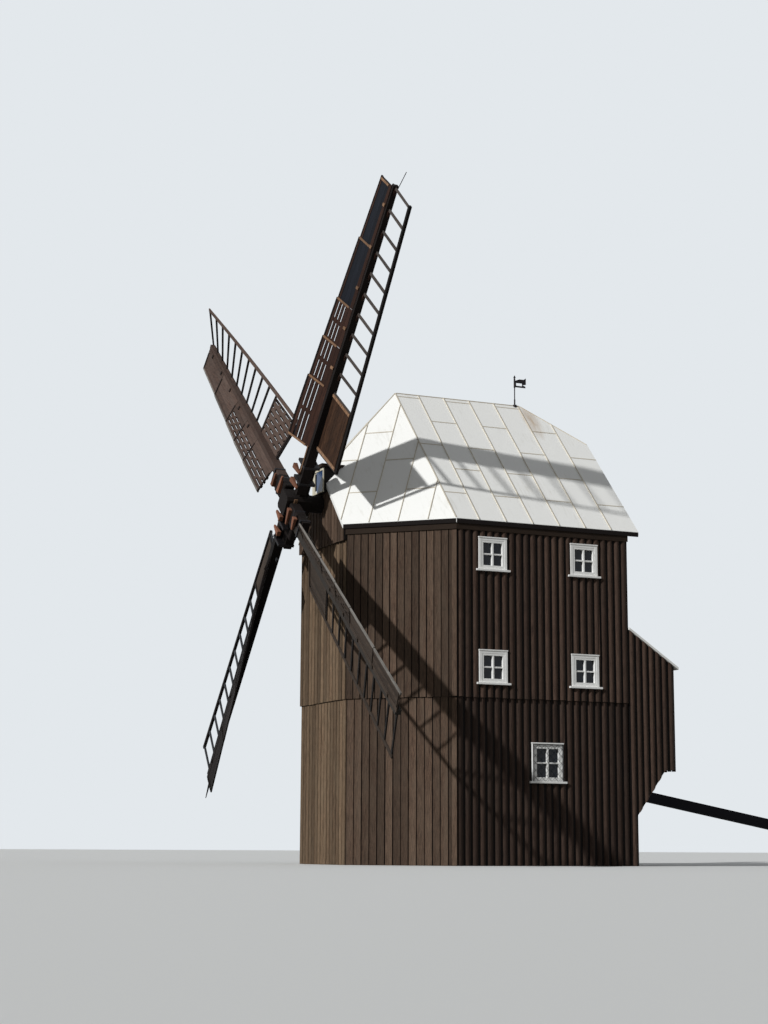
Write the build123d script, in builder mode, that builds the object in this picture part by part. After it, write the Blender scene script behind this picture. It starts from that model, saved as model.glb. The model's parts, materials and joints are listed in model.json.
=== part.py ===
from build123d import *
from math import cos, hypot, radians, sin, tan
import os

# Traditional timber windmill: boarded body with a splayed front, sheet-metal roof,
# four board-and-lattice sails on a windshaft, tail bay and tail pole.
# Millimetres. The sails face -Y, +X is the right-hand side seen from the sails, +Z is up.
# The origin is on the ground, under the crossing of the ground sills.

# Body plan
body_width = 6855.0
front_facet_width = 2937.0
front_y = -3365.0
shoulder_y = -1360.0
rear_y = 3360.0
wall_thickness = 160.0
upper_overlap = 41.0

# Heights of the body
drip_line_z = 3965.0
eave_z = 8272.0
ridge_z = 12111.0

# Roof
eave_overhang = 126.0
front_verge_overhang = 165.0
rear_verge_overhang = 345.0
roof_thickness = 60.0
ridge_front_y = -1447.0
ridge_rear_y = 2217.0
front_hip_half_width = 120.0
rear_hip_eave_z = 10978.0

# Cornice and the boarding of the front gable
cornice_depth = 60.0
cornice_bottom_z = 8010.0
gable_skirt_depth = 80.0
gable_skirt_bottom_z = 7890.0

# Dormer over the windshaft
dormer_width = 760.0
dormer_front_y = -3580.0
dormer_back_y = -3000.0
dormer_bottom_z = 9250.0
dormer_top_z = 9905.0
dormer_wall = 50.0
dormer_frame_bar = 55.0
hood_side_overhang = 30.0
hood_front_overhang = 85.0
hood_thickness = 80.0

# Floors, sills and the beams that carry the windshaft
floor_thickness = 60.0
ground_floor_z = 1000.0
middle_floor_z = 3350.0
upper_floor_z = 6100.0
sill_height = 320.0
sill_width = 300.0
shaft_beam_width = 360.0
shaft_beam_height = 420.0

# Windows: outer size of the frames, and where they stand on the side walls
window_width = 769.0
window_height = 805.0
window_front_y = -407.0
window_rear_y = 2138.0
window_upper_z = 7446.0
window_middle_z = 4696.0
low_window_width = 860.0
low_window_height = 936.0
low_window_y = 1082.0
low_window_z = 2441.0
window_bar = 75.0
window_frame_depth = 110.0
window_proud = 20.0
glass_thickness = 8.0
glass_setback = 60.0

# Plank door in the far side wall
door_width = 950.0
door_height = 1950.0
door_thickness = 55.0
door_y = 1082.0

# Tail bay
bay_rear_y = 4700.0
bay_roof_top_z = 5850.0
bay_roof_angle = 33.6
bay_roof_overhang = 120.0
bay_roof_thickness = 50.0
bay_bottom_z = 2345.0
bay_soffit_y = 4400.0
bay_foot_y = 3590.0
bay_foot_z = 1235.0
bay_wall_thickness = 110.0

# Tail pole
tail_pole_width = 240.0
tail_pole_height = 262.0
tail_pole_root_y = 3480.0
tail_pole_tip_y = 10900.0
tail_pole_tip_z = 909.0
tail_pole_slope = 10.1

# Weather vane
vane_y = 2086.0
vane_pole_radius = 14.0
vane_height = 519.0
vane_banner_height = 230.0
vane_horn_height = 45.0
vane_reach = 345.0
vane_sleeve_radius = 20.0
vane_sleeve_height = 179.0
vane_finial_radius = 32.0
vane_finial_rise = 33.0
vane_finial_height = 62.0
vane_finial_gap = 5.0
vane_opening = (180.0, 75.0)
vane_plate = 8.0
vane_socket_radius = 24.0
vane_gap = 0.6
vane_collar_height = 15.0
vane_foot_radius = 55.0
vane_foot_height = 25.0

# Windshaft and stocks
hub_y = -4233.0
hub_z = 8981.0
shaft_tilt = 0.0
shaft_head_size = 540.0
shaft_head_front = 330.0
shaft_head_back = 330.0
shaft_head_chamfer = 65.0
shaft_radius = 220.0
shaft_tail_y = 1500.0
shaft_gap = 0.8
gable_hole_gap = 28.0
first_sail_angle = 40.7
second_stock_skew_angle = 2.7
stock_width = 280.0
stock_depth = 200.0
stock_gap = 20.0
stock_reach = 1300.0

# Sails: whip, bars, hemlath, door and leading boards
sail_radius = 8852.0
whip_root = 420.0
whip_width = 177.0
whip_tip_width = 115.0
whip_back = 60.0
whip_front_root = 200.0
whip_front_tip = 75.0
whip_plane_offset = 40.0
bar_count = 10
bar_spacing = 548.0
bar_width = 62.0
bar_depth = 34.0
bar_stub = 130.0
lattice_width = 1085.0
hemlath_width = 60.0
hemlath_depth = 34.0
door_length = 1600.0
door_panel_thickness = 24.0
panel_gap = 12.0
leader_root_overhang = 50.0
leader_tip_overhang = 130.0
leader_root_width = 560.0
leader_tip_width = 480.0
leader_root_angle = 28.0
leader_tip_angle = 5.0
leader_thickness = 28.0
leader_seat = 35.0
leader_rebate = 10.0

# The four sails have weathered apart: twist at the root and the tip, and drift of the tip
# towards the leading side and forwards, one value for each sail
root_twist_angles = (7.9, 16.3, 9.4, 14.3)
tip_twist_angles = (-2.2, -18.4, 6.0, 9.3)
tip_sweeps = (-107.0, 0.0, 61.0, -13.0)
tip_leans = (21.0, -114.0, 75.0, 172.0)

# Broken end of the third whip
broken_sail = 3
broken_length = 760.0
broken_start = 150.0
broken_root_width = 70.0
broken_tip_width = 16.0

# Thin rod on the back of the first whip's tip
rod_sail = 1
rod_radius = 9.0
rod_length = 440.0
rod_seat = 60.0
rod_inset = 15.0
rod_lean_angle = 11.0

# Clearance kept between faces that turn past each other, and margin of the trimming volumes
seat_gap = 0.3
trim_margin = 600.0

half_width = body_width / 2
half_front = front_facet_width / 2
inner_face = -wall_thickness

os.makedirs("parts", exist_ok=True)


def crossing(p, d, q, e):
    """Point where the line from p along d meets the line from q along e."""
    scale = ((q[0] - p[0]) * e[1] - (q[1] - p[1]) * e[0]) / (d[0] * e[1] - d[1] * e[0])
    return p[0] + scale * d[0], p[1] + scale * d[1]


def mirrored(point):
    """The same point on the other side of the body."""
    return (-point[0], *point[1:])


def wall_ring(out):
    """Six corners of the body plan moved outwards by one distance, from the front right corner."""
    splay = hypot(half_width - half_front, shoulder_y - front_y)
    along = ((half_width - half_front) / splay, (shoulder_y - front_y) / splay)
    on_splay = (half_front + along[1] * out, front_y - along[0] * out)
    front_right = crossing(on_splay, along, (0, front_y - out), (1, 0))
    shoulder_right = crossing(on_splay, along, (half_width + out, 0), (0, 1))
    rear_right = (half_width + out, rear_y + out)
    right = [front_right, shoulder_right, rear_right]
    return right + [mirrored(corner) for corner in reversed(right)]


def plan_face(points, z):
    """Closed outline in plan at one height."""
    with BuildSketch(Plane.XY.offset(z)) as plan:
        with BuildLine():
            Polyline(*points, close=True)
        make_face()
    return plan.sketch


def profile_face(points, x):
    """Closed outline of depth and height points at one distance from the middle."""
    with BuildSketch(Plane.YZ.offset(x)) as profile:
        with BuildLine():
            Polyline(*points, close=True)
        make_face()
    return profile.sketch


def plane_through(a, b, c):
    """Plane through three points with its normal pointing up."""
    normal = (Vector(*b) - Vector(*a)).cross(Vector(*c) - Vector(*a)).normalized()
    return Plane(origin=a, z_dir=normal if normal.Z > 0 else -normal)


# Roof planes from the eave corners, the verge corners and the ridge ends
eave_ring = wall_ring(eave_overhang)
front_eave_y = front_y - front_verge_overhang
rear_eave_y = rear_y + rear_verge_overhang
splay_direction = (eave_ring[1][0] - eave_ring[0][0], eave_ring[1][1] - eave_ring[0][1])
eave_shoulder = (*eave_ring[1], eave_z)
eave_front = (*crossing(eave_ring[1], splay_direction, (0, front_eave_y), (1, 0)), eave_z)
eave_rear = (eave_ring[1][0], rear_eave_y, eave_z)
ridge_front = (0, ridge_front_y, ridge_z)
ridge_rear = (0, ridge_rear_y, ridge_z)
shoulder_normal = plane_through(eave_shoulder, eave_front, ridge_front).z_dir
front_hip_eave_z = eave_z + (eave_front[0] - front_hip_half_width) * shoulder_normal.X / shoulder_normal.Z
front_hip_corner = (front_hip_half_width, front_eave_y, front_hip_eave_z)
rear_hip_x = eave_shoulder[0] * (ridge_z - rear_hip_eave_z) / (ridge_z - eave_z)
rear_hip_corner = (rear_hip_x, rear_eave_y, rear_hip_eave_z)

side_corners = [eave_shoulder, eave_rear, rear_hip_corner, ridge_rear, ridge_front]
shoulder_corners = [eave_shoulder, eave_front, front_hip_corner, ridge_front]
roof_corners = {
    "roof_side_right": side_corners,
    "roof_side_left": [mirrored(corner) for corner in side_corners],
    "roof_shoulder_right": shoulder_corners,
    "roof_shoulder_left": [mirrored(corner) for corner in shoulder_corners],
    "roof_front_hip": [front_hip_corner, mirrored(front_hip_corner), ridge_front],
    "roof_rear_hip": [rear_hip_corner, mirrored(rear_hip_corner), ridge_rear],
}
roof_planes = {
    name: plane_through(corners[0], corners[1], corners[-1]) for name, corners in roof_corners.items()
}
above_all = ridge_z + trim_margin
below_roof_z = eave_z - trim_margin

with BuildPart() as roof_body:
    extrude(plan_face(wall_ring(trim_margin), 0), amount=above_all)
    for plane in roof_planes.values():
        split(bisect_by=plane, keep=Keep.BOTTOM)

with BuildPart() as under_roof:
    extrude(plan_face(wall_ring(trim_margin), 0), amount=above_all)
    for plane in roof_planes.values():
        split(bisect_by=plane.offset(-roof_thickness), keep=Keep.BOTTOM)

# Dormer and hood volume, which the roof and the gable are notched for
hood_width = dormer_width + 2 * hood_side_overhang
hood_front_y = dormer_front_y - hood_front_overhang


def box_between(x, y, z):
    """Plain block between two limits along each axis."""
    centre = Pos((x[0] + x[1]) / 2, (y[0] + y[1]) / 2, (z[0] + z[1]) / 2)
    return centre * Box(x[1] - x[0], y[1] - y[0], z[1] - z[0], mode=Mode.PRIVATE)


dormer_block = box_between(
    (-dormer_width / 2, dormer_width / 2), (dormer_front_y, dormer_back_y), (dormer_bottom_z, dormer_top_z)
)
hood_block = box_between(
    (-hood_width / 2, hood_width / 2),
    (hood_front_y, dormer_back_y),
    (dormer_top_z, dormer_top_z + hood_thickness),
)
dormer_notch = dormer_block + hood_block
gable_notch = box_between(
    (-hood_width / 2, hood_width / 2), (hood_front_y, dormer_back_y), (dormer_top_z, above_all)
)

for name, corners in roof_corners.items():
    with BuildPart() as roof:
        extrude(plan_face([corner[:2] for corner in corners], below_roof_z), amount=above_all - below_roof_z)
        add(roof_body.part, mode=Mode.INTERSECT)
        split(bisect_by=roof_planes[name].offset(-roof_thickness), keep=Keep.TOP)
        add(dormer_notch, mode=Mode.SUBTRACT)
    roof.part.label = name
    export_step(roof.part, f"parts/{name}.step")

with BuildPart() as dormer:
    add(dormer_block)
    add(
        box_between(
            (-dormer_width / 2 + dormer_wall, dormer_width / 2 - dormer_wall),
            (dormer_front_y + dormer_wall, dormer_back_y),
            (dormer_bottom_z + dormer_wall, dormer_top_z),
        ),
        mode=Mode.SUBTRACT,
    )
    dormer_window_width = dormer_width - 2 * dormer_wall
    dormer_window_height = dormer_top_z - dormer_bottom_z - 2 * dormer_wall
    dormer_window_z = (dormer_top_z + dormer_bottom_z) / 2
    with BuildSketch(Plane.XZ.offset(-dormer_front_y)):
        with Locations((0, dormer_window_z)):
            Rectangle(dormer_window_width, dormer_window_height)
    extrude(amount=-dormer_wall, mode=Mode.SUBTRACT)
dormer.part.label = "dormer"
export_step(dormer.part, "parts/dormer.step")

with BuildPart() as dormer_hood:
    add(hood_block)
dormer_hood.part.label = "dormer_hood"
export_step(dormer_hood.part, "parts/dormer_hood.step")

# Shaft direction, and the round way through the front gable
tilt = radians(shaft_tilt)
forward = Vector(0, -cos(tilt), sin(tilt))
hub = Vector(0, hub_y, hub_z)
shaft_back = Plane(origin=hub, x_dir=(1, 0, 0), z_dir=-forward)
shaft_length = (shaft_tail_y - hub_y) / cos(tilt) + shaft_beam_width / 2
with BuildPart() as gable_hole:
    with BuildSketch(shaft_back):
        Circle(shaft_radius + gable_hole_gap)
    extrude(amount=front_y + wall_thickness - hub_y)

# Walls in two tiers: the lower boards run to the ground, the upper ones overlap them
rear_end = rear_y + upper_overlap
near, far = wall_ring(inner_face), wall_ring(0)
far_upper = wall_ring(upper_overlap)


def side_plan(outer):
    """Plan of the right-hand side wall, square at its rear end."""
    return [outer[1], (outer[2][0], rear_end), (near[2][0], rear_end), near[1]]


def shoulder_plan(outer):
    """Plan of the right-hand splayed wall, mitred at both ends."""
    return [outer[0], outer[1], near[1], near[0]]


def front_plan(outer):
    """Plan of the front wall, mitred at both ends."""
    return [outer[5], outer[0], near[0], near[5]]


# Openings in the side walls: depth, height, width and height of each
side_windows = [
    (y, z, window_width, window_height)
    for y in (window_front_y, window_rear_y)
    for z in (window_middle_z, window_upper_z)
]
low_window = (low_window_y, low_window_z, low_window_width, low_window_height)
door_centre_z = ground_floor_z + door_height / 2

with BuildPart() as side_window_voids:
    for y, z, width, height in side_windows:
        with Locations((0, y, z)):
            Box(2 * body_width, width, height)

with BuildPart() as front_wall_lower:
    extrude(plan_face(front_plan(far), 0), amount=drip_line_z)
front_wall_lower.part.label = "front_wall_lower"
export_step(front_wall_lower.part, "parts/front_wall_lower.step")

with BuildPart() as shoulder_walls_lower:
    extrude(plan_face(shoulder_plan(far), 0), amount=drip_line_z)
    mirror(about=Plane.YZ)
shoulder_walls_lower.part.label = "shoulder_walls_lower"
export_step(shoulder_walls_lower.part, "parts/shoulder_walls_lower.step")

with BuildPart() as right_wall_lower:
    extrude(plan_face(side_plan(far), 0), amount=drip_line_z)
    with Locations((half_width, low_window_y, low_window_z)):
        Box(3 * wall_thickness, low_window_width, low_window_height, mode=Mode.SUBTRACT)
right_wall_lower.part.label = "right_wall_lower"
export_step(right_wall_lower.part, "parts/right_wall_lower.step")

with BuildPart() as left_wall_lower:
    extrude(plan_face([mirrored(p) for p in side_plan(far)], 0), amount=drip_line_z)
    with Locations((-half_width, door_y, door_centre_z)):
        Box(3 * wall_thickness, door_width, door_height, mode=Mode.SUBTRACT)
left_wall_lower.part.label = "left_wall_lower"
export_step(left_wall_lower.part, "parts/left_wall_lower.step")

with BuildPart() as plank_door:
    with Locations((-half_width, door_y, door_centre_z)):
        Box(door_thickness, door_width, door_height, align=(Align.MIN, Align.CENTER, Align.CENTER))
plank_door.part.label = "plank_door"
export_step(plank_door.part, "parts/plank_door.step")

with BuildPart() as front_wall_upper:
    extrude(plan_face(front_plan(far_upper), drip_line_z), amount=above_all - drip_line_z)
    add(under_roof.part, mode=Mode.INTERSECT)
    add(dormer_block, mode=Mode.SUBTRACT)
    add(gable_notch, mode=Mode.SUBTRACT)
    add(gable_hole.part, mode=Mode.SUBTRACT)
front_wall_upper.part.label = "front_wall_upper"
export_step(front_wall_upper.part, "parts/front_wall_upper.step")

with BuildPart() as shoulder_walls_upper:
    extrude(plan_face(shoulder_plan(far_upper), drip_line_z), amount=above_all - drip_line_z)
    mirror(about=Plane.YZ)
    add(under_roof.part, mode=Mode.INTERSECT)
shoulder_walls_upper.part.label = "shoulder_walls_upper"
export_step(shoulder_walls_upper.part, "parts/shoulder_walls_upper.step")

with BuildPart() as right_wall_upper:
    extrude(plan_face(side_plan(far_upper), drip_line_z), amount=above_all - drip_line_z)
    add(under_roof.part, mode=Mode.INTERSECT)
    add(side_window_voids.part, mode=Mode.SUBTRACT)
right_wall_upper.part.label = "right_wall_upper"
export_step(right_wall_upper.part, "parts/right_wall_upper.step")

with BuildPart() as left_wall_upper:
    add(mirror(right_wall_upper.part, about=Plane.YZ, mode=Mode.PRIVATE))
left_wall_upper.part.label = "left_wall_upper"
export_step(left_wall_upper.part, "parts/left_wall_upper.step")

# Tail bay: roof line, folded underside and the walls between them
bay_slope = radians(bay_roof_angle)
bay_outer_x = half_width + upper_overlap
bay_inner_x = bay_outer_x - bay_wall_thickness


def bay_roof_z(y):
    """Top of the tail bay's roof at one depth."""
    return bay_roof_top_z - (y - rear_end) * tan(bay_slope)


bay_roof_drop = bay_roof_thickness / cos(bay_slope)
bay_eave_y = bay_rear_y + bay_roof_overhang
bay_lintel_z = bay_roof_top_z - bay_roof_drop

with BuildPart() as rear_gable:
    extrude(
        plan_face(
            [near[2], mirrored(near[2]), (-near[2][0], rear_end), (near[2][0], rear_end)], bay_lintel_z
        ),
        amount=above_all - bay_lintel_z,
    )
    add(under_roof.part, mode=Mode.INTERSECT)
rear_gable.part.label = "rear_gable"
export_step(rear_gable.part, "parts/rear_gable.step")

with BuildPart() as bay_roof:
    extrude(
        profile_face(
            [
                (rear_end, bay_roof_top_z),
                (bay_eave_y, bay_roof_z(bay_eave_y)),
                (bay_eave_y, bay_roof_z(bay_eave_y) - bay_roof_drop),
                (rear_end, bay_lintel_z),
            ],
            0,
        ),
        amount=bay_outer_x + eave_overhang / 2,
        both=True,
    )
bay_roof.part.label = "bay_roof"
export_step(bay_roof.part, "parts/bay_roof.step")

bay_outline = [
    (rear_end, bay_lintel_z),
    (bay_rear_y, bay_roof_z(bay_rear_y) - bay_roof_drop),
    (bay_rear_y, bay_bottom_z),
    (bay_soffit_y, bay_bottom_z),
    (bay_foot_y, bay_foot_z),
    (bay_foot_y, 0),
    (rear_end, 0),
]
with BuildPart() as bay_sides:
    extrude(profile_face(bay_outline, bay_inner_x), amount=bay_wall_thickness)
    mirror(about=Plane.YZ)
bay_sides.part.label = "bay_sides"
export_step(bay_sides.part, "parts/bay_sides.step")

bay_back_y = bay_rear_y - bay_wall_thickness
with BuildPart() as bay_back:
    extrude(
        profile_face(
            [
                (bay_back_y, bay_roof_z(bay_back_y) - bay_roof_drop),
                (bay_rear_y, bay_roof_z(bay_rear_y) - bay_roof_drop),
                (bay_rear_y, bay_bottom_z),
                (bay_back_y, bay_bottom_z),
            ],
            0,
        ),
        amount=bay_inner_x,
        both=True,
    )
bay_back.part.label = "bay_back"
export_step(bay_back.part, "parts/bay_back.step")

# Tail pole, running down and out through the sloping underside of the bay
pole_slope = radians(tail_pole_slope)
pole_length = (tail_pole_tip_y - tail_pole_root_y) / cos(pole_slope)
pole_tip = Plane(
    origin=(0, tail_pole_tip_y, tail_pole_tip_z), x_dir=(1, 0, 0), z_dir=(0, -cos(pole_slope), sin(pole_slope))
)
with BuildPart() as tail_pole:
    with BuildSketch(pole_tip):
        Rectangle(tail_pole_width, tail_pole_height)
    extrude(amount=pole_length)
tail_pole.part.label = "tail_pole"
export_step(tail_pole.part, "parts/tail_pole.step")

fold = (bay_soffit_y - bay_foot_y, bay_bottom_z - bay_foot_z)
fold_length = hypot(*fold)
fold_shift = (-fold[1] / fold_length * bay_wall_thickness, fold[0] / fold_length * bay_wall_thickness)
fold_inner = (bay_foot_y + fold_shift[0], bay_foot_z + fold_shift[1])
bay_floor_z = bay_bottom_z + bay_wall_thickness
bay_skirt_y = bay_foot_y - bay_wall_thickness
with BuildPart() as bay_underside:
    extrude(
        profile_face(
            [
                (bay_back_y, bay_bottom_z),
                (bay_soffit_y, bay_bottom_z),
                (bay_foot_y, bay_foot_z),
                (bay_foot_y, 0),
                (bay_skirt_y, 0),
                crossing(fold_inner, fold, (bay_skirt_y, 0), (0, 1)),
                crossing(fold_inner, fold, (0, bay_floor_z), (1, 0)),
                (bay_back_y, bay_floor_z),
            ],
            0,
        ),
        amount=bay_inner_x,
        both=True,
    )
    add(tail_pole.part, mode=Mode.SUBTRACT)
bay_underside.part.label = "bay_underside"
export_step(bay_underside.part, "parts/bay_underside.step")

# Boards over the front gable, standing proud of the wall below
skirt_y = front_y - upper_overlap
with BuildPart() as gable_boards:
    extrude(
        plan_face(
            [
                far_upper[0],
                far_upper[5],
                (far_upper[5][0], skirt_y - gable_skirt_depth),
                (far_upper[0][0], skirt_y - gable_skirt_depth),
            ],
            gable_skirt_bottom_z,
        ),
        amount=above_all - gable_skirt_bottom_z,
    )
    add(under_roof.part, mode=Mode.INTERSECT)
    add(dormer_block, mode=Mode.SUBTRACT)
    add(gable_notch, mode=Mode.SUBTRACT)
    add(gable_hole.part, mode=Mode.SUBTRACT)
gable_boards.part.label = "gable_boards"
export_step(gable_boards.part, "parts/gable_boards.step")

# Cornice under the eaves of the sides and shoulders
cornice_ring = wall_ring(upper_overlap + cornice_depth)
with BuildPart() as cornice:
    extrude(
        plan_face(
            [
                far_upper[0],
                cornice_ring[0],
                cornice_ring[1],
                (cornice_ring[2][0], rear_end),
                (far_upper[2][0], rear_end),
                far_upper[1],
            ],
            cornice_bottom_z,
        ),
        amount=above_all - cornice_bottom_z,
    )
    mirror(about=Plane.YZ)
    add(under_roof.part, mode=Mode.INTERSECT)
cornice.part.label = "cornice"
export_step(cornice.part, "parts/cornice.step")

# Ground sills: a ring inside the wall feet and a cross through the origin
sill_inner = wall_ring(inner_face - sill_width)
with BuildPart() as ground_sills:
    extrude(plan_face(near, 0), amount=sill_height)
    extrude(plan_face(sill_inner, 0), amount=sill_height, mode=Mode.SUBTRACT)
    with Locations((0, 0, sill_height / 2)):
        Box(-2 * sill_inner[3][0], sill_width, sill_height)
        Box(sill_width, 2 * sill_inner[2][1], sill_height)
ground_sills.part.label = "ground_sills"
export_step(ground_sills.part, "parts/ground_sills.step")

with BuildPart() as floors:
    for top in (ground_floor_z, middle_floor_z, upper_floor_z):
        extrude(plan_face(near, top - floor_thickness), amount=floor_thickness)
floors.part.label = "floors"
export_step(floors.part, "parts/floors.step")

# Beams under the neck and the tail of the windshaft, trimmed to the walls and the roof
with BuildPart() as beam_limits:
    extrude(plan_face(near, 0), amount=above_all)
    add(under_roof.part, mode=Mode.INTERSECT)
    with BuildSketch(shaft_back):
        Circle(shaft_radius + shaft_gap)
    extrude(amount=2 * shaft_length, mode=Mode.SUBTRACT)

neck_beam_y = near[0][1] + shaft_beam_width / 2
with BuildPart() as shaft_beams:
    for y in (neck_beam_y, shaft_tail_y):
        with Locations((0, y, hub_z - (y - hub_y) * tan(tilt))):
            Box(
                body_width,
                shaft_beam_width,
                shaft_beam_height,
                align=(Align.CENTER, Align.CENTER, Align.MAX),
            )
    add(beam_limits.part, mode=Mode.INTERSECT)
shaft_beams.part.label = "shaft_beams"
export_step(shaft_beams.part, "parts/shaft_beams.step")

# Window frames and panes, on both sides and in the dormer
side_frames = [(*window, bay_outer_x) for window in side_windows]
low_frames = [(*low_window, half_width)]


def frame_face(y, z, width, height, face_x):
    """Outline of a window frame, a little proud of the boards."""
    with BuildSketch(Plane.YZ.offset(face_x + window_proud)) as frame:
        with Locations((y, z)):
            Rectangle(width, height)
            Rectangle(width - 2 * window_bar, height - 2 * window_bar, mode=Mode.SUBTRACT)
    return frame.sketch


def pane_face(y, z, width, height, face_x):
    """Outline of the sheet of glass set into a window frame."""
    with BuildSketch(Plane.YZ.offset(face_x + window_proud - glass_setback)) as pane:
        with Locations((y, z)):
            Rectangle(width - 2 * window_bar, height - 2 * window_bar)
    return pane.sketch


dormer_frame_y = dormer_front_y + dormer_wall
with BuildPart() as window_frames:
    for window in side_frames:
        extrude(frame_face(*window), amount=-window_frame_depth)
    mirror(about=Plane.YZ)
    for window in low_frames:
        extrude(frame_face(*window), amount=-window_frame_depth)
    with BuildSketch(Plane.XZ.offset(-dormer_frame_y)):
        with Locations((0, dormer_window_z)):
            Rectangle(dormer_window_width, dormer_window_height)
            Rectangle(
                dormer_window_width - 2 * dormer_frame_bar,
                dormer_window_height - 2 * dormer_frame_bar,
                mode=Mode.SUBTRACT,
            )
    extrude(amount=dormer_wall)
window_frames.part.label = "window_frames"
export_step(window_frames.part, "parts/window_frames.step")

with BuildPart() as window_glass:
    for window in side_frames:
        extrude(pane_face(*window), amount=glass_thickness)
    mirror(about=Plane.YZ)
    for window in low_frames:
        extrude(pane_face(*window), amount=glass_thickness)
    with Locations((0, dormer_front_y + dormer_wall / 2, dormer_window_z)):
        Box(
            dormer_window_width - 2 * dormer_frame_bar,
            glass_thickness,
            dormer_window_height - 2 * dormer_frame_bar,
        )
window_glass.part.label = "window_glass"
export_step(window_glass.part, "parts/window_glass.step")

# Weather vane on the rear end of the ridge
vane_low_z = ridge_z + vane_height
vane_high_z = vane_low_z + vane_banner_height
finial_bottom_z = vane_high_z + vane_finial_gap
finial_middle_z = finial_bottom_z + vane_finial_rise
with BuildPart() as vane_pole:
    with BuildSketch(Plane.XY.offset(ridge_z - vane_foot_radius * 2)):
        with Locations((0, vane_y)):
            Circle(vane_foot_radius)
    extrude(amount=vane_foot_radius * 2 + vane_foot_height)
    with BuildSketch(Plane.XY.offset(ridge_z)):
        with Locations((0, vane_y)):
            Circle(vane_pole_radius)
    extrude(amount=finial_middle_z - ridge_z)
    with BuildSketch(Plane.XY.offset(ridge_z)):
        with Locations((0, vane_y)):
            Circle(vane_sleeve_radius)
    extrude(amount=vane_sleeve_height)
    with Locations((0, vane_y, finial_bottom_z)):
        Cone(
            vane_pole_radius,
            vane_finial_radius,
            vane_finial_rise,
            align=(Align.CENTER, Align.CENTER, Align.MIN),
        )
    with Locations((0, vane_y, finial_middle_z)):
        Cone(
            vane_finial_radius,
            vane_gap,
            vane_finial_height,
            align=(Align.CENTER, Align.CENTER, Align.MIN),
        )
    with BuildSketch(Plane.XY.offset(vane_low_z - vane_collar_height)):
        with Locations((0, vane_y)):
            Circle(vane_socket_radius)
    extrude(amount=vane_collar_height - seat_gap)
    add(roof_body.part, mode=Mode.SUBTRACT)
vane_pole.part.label = "vane_pole"
export_step(vane_pole.part, "parts/vane_pole.step")


def on_vane(reach, height):
    """Point of the banner, given as shares of its reach and of its height."""
    return vane_y + vane_reach * reach, vane_low_z + (vane_high_z - vane_low_z) * height


with BuildPart() as vane_banner:
    with BuildSketch(Plane.YZ):
        with BuildLine():
            Polyline(
                on_vane(0, 0),
                on_vane(0.96, 0),
                on_vane(0.96, 0.18),
                on_vane(0.7, 0.32),
                on_vane(1, 0.42),
                (vane_y + vane_reach, vane_high_z + vane_horn_height),
                on_vane(0.8, 1),
                on_vane(0.42, 1),
                on_vane(0.12, 0.82),
                on_vane(0, 0.72),
                close=True,
            )
        make_face()
        with Locations(on_vane(0.4, 0.36)):
            Rectangle(*vane_opening, mode=Mode.SUBTRACT)
    extrude(amount=vane_plate / 2, both=True)
    with BuildSketch(Plane.XY.offset(vane_low_z)):
        with Locations((0, vane_y)):
            Circle(vane_socket_radius)
    extrude(amount=vane_high_z - vane_low_z)
    with BuildSketch(Plane.XY.offset(vane_low_z)):
        with Locations((0, vane_y)):
            Circle(vane_pole_radius + vane_gap)
    extrude(amount=vane_high_z - vane_low_z, mode=Mode.SUBTRACT)
vane_banner.part.label = "vane_banner"
export_step(vane_banner.part, "parts/vane_banner.step")


# Sails. Each arm has its own frame: x out along the arm, y to the leading side, z forward
def arm_frame(index):
    """Frame of one sail arm at the hub."""
    angle = radians(first_sail_angle - 90.0 * index - second_stock_skew_angle * (index % 2))
    out = Vector(sin(angle), cos(angle) * sin(tilt), cos(angle) * cos(tilt))
    return Plane(origin=hub, x_dir=out, z_dir=forward)


def pair_sign(index):
    """The stock of the first and third sails lies behind the other one."""
    return 1 if index % 2 else -1


def whip_frame(index):
    """Frame of one sail, in the plane in which its bars leave the whip."""
    return arm_frame(index).offset(pair_sign(index) * whip_plane_offset)


stock_offset = (stock_depth + stock_gap) / 2
with BuildPart() as stocks:
    for index in (0, 1):
        with Locations(arm_frame(index).offset(pair_sign(index) * stock_offset)):
            Box(2 * stock_reach, stock_width, stock_depth)
stocks.part.label = "stocks"
export_step(stocks.part, "parts/stocks.step")

shaft_head = Plane(origin=hub - forward * shaft_head_back, x_dir=arm_frame(0).x_dir, z_dir=forward)
with BuildPart() as windshaft:
    with BuildSketch(shaft_head):
        Rectangle(shaft_head_size, shaft_head_size)
    extrude(amount=shaft_head_front + shaft_head_back)
    chamfer(windshaft.edges().filter_by(Axis((0, 0, 0), tuple(forward))), length=shaft_head_chamfer)
    with BuildSketch(shaft_back):
        Circle(shaft_radius)
    extrude(amount=shaft_length)
    add(stocks.part, mode=Mode.SUBTRACT)
windshaft.part.label = "windshaft"
export_step(windshaft.part, "parts/windshaft.step")

whip_leading_y = -stock_width / 2
whip_trailing_y = whip_leading_y - whip_width
whip_tip_radius = sail_radius + bar_width
door_top_radius = sail_radius - bar_count * bar_spacing
door_bottom_radius = door_top_radius - door_length
bar_radii = [sail_radius - bar * bar_spacing for bar in range(bar_count)]
bar_radii += [door_top_radius, door_bottom_radius]
leader_root_radius = door_bottom_radius - leader_root_overhang
leader_tip_radius = sail_radius + leader_tip_overhang


def between(root, tip, radius, start, end):
    """Value at one radius on the straight line between a root and a tip value."""
    return root + (tip - root) * (radius - start) / (end - start)


def weather(index, radius):
    """Twist of one sail at one radius, in degrees."""
    return between(root_twist_angles[index], tip_twist_angles[index], radius, door_bottom_radius, sail_radius)


def drift(index, radius):
    """How far one sail has moved sideways and forwards at one radius beyond the stock."""
    share = between(0, 1, max(radius, stock_reach), stock_reach, whip_tip_radius)
    return tip_sweeps[index] * share, tip_leans[index] * share


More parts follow.
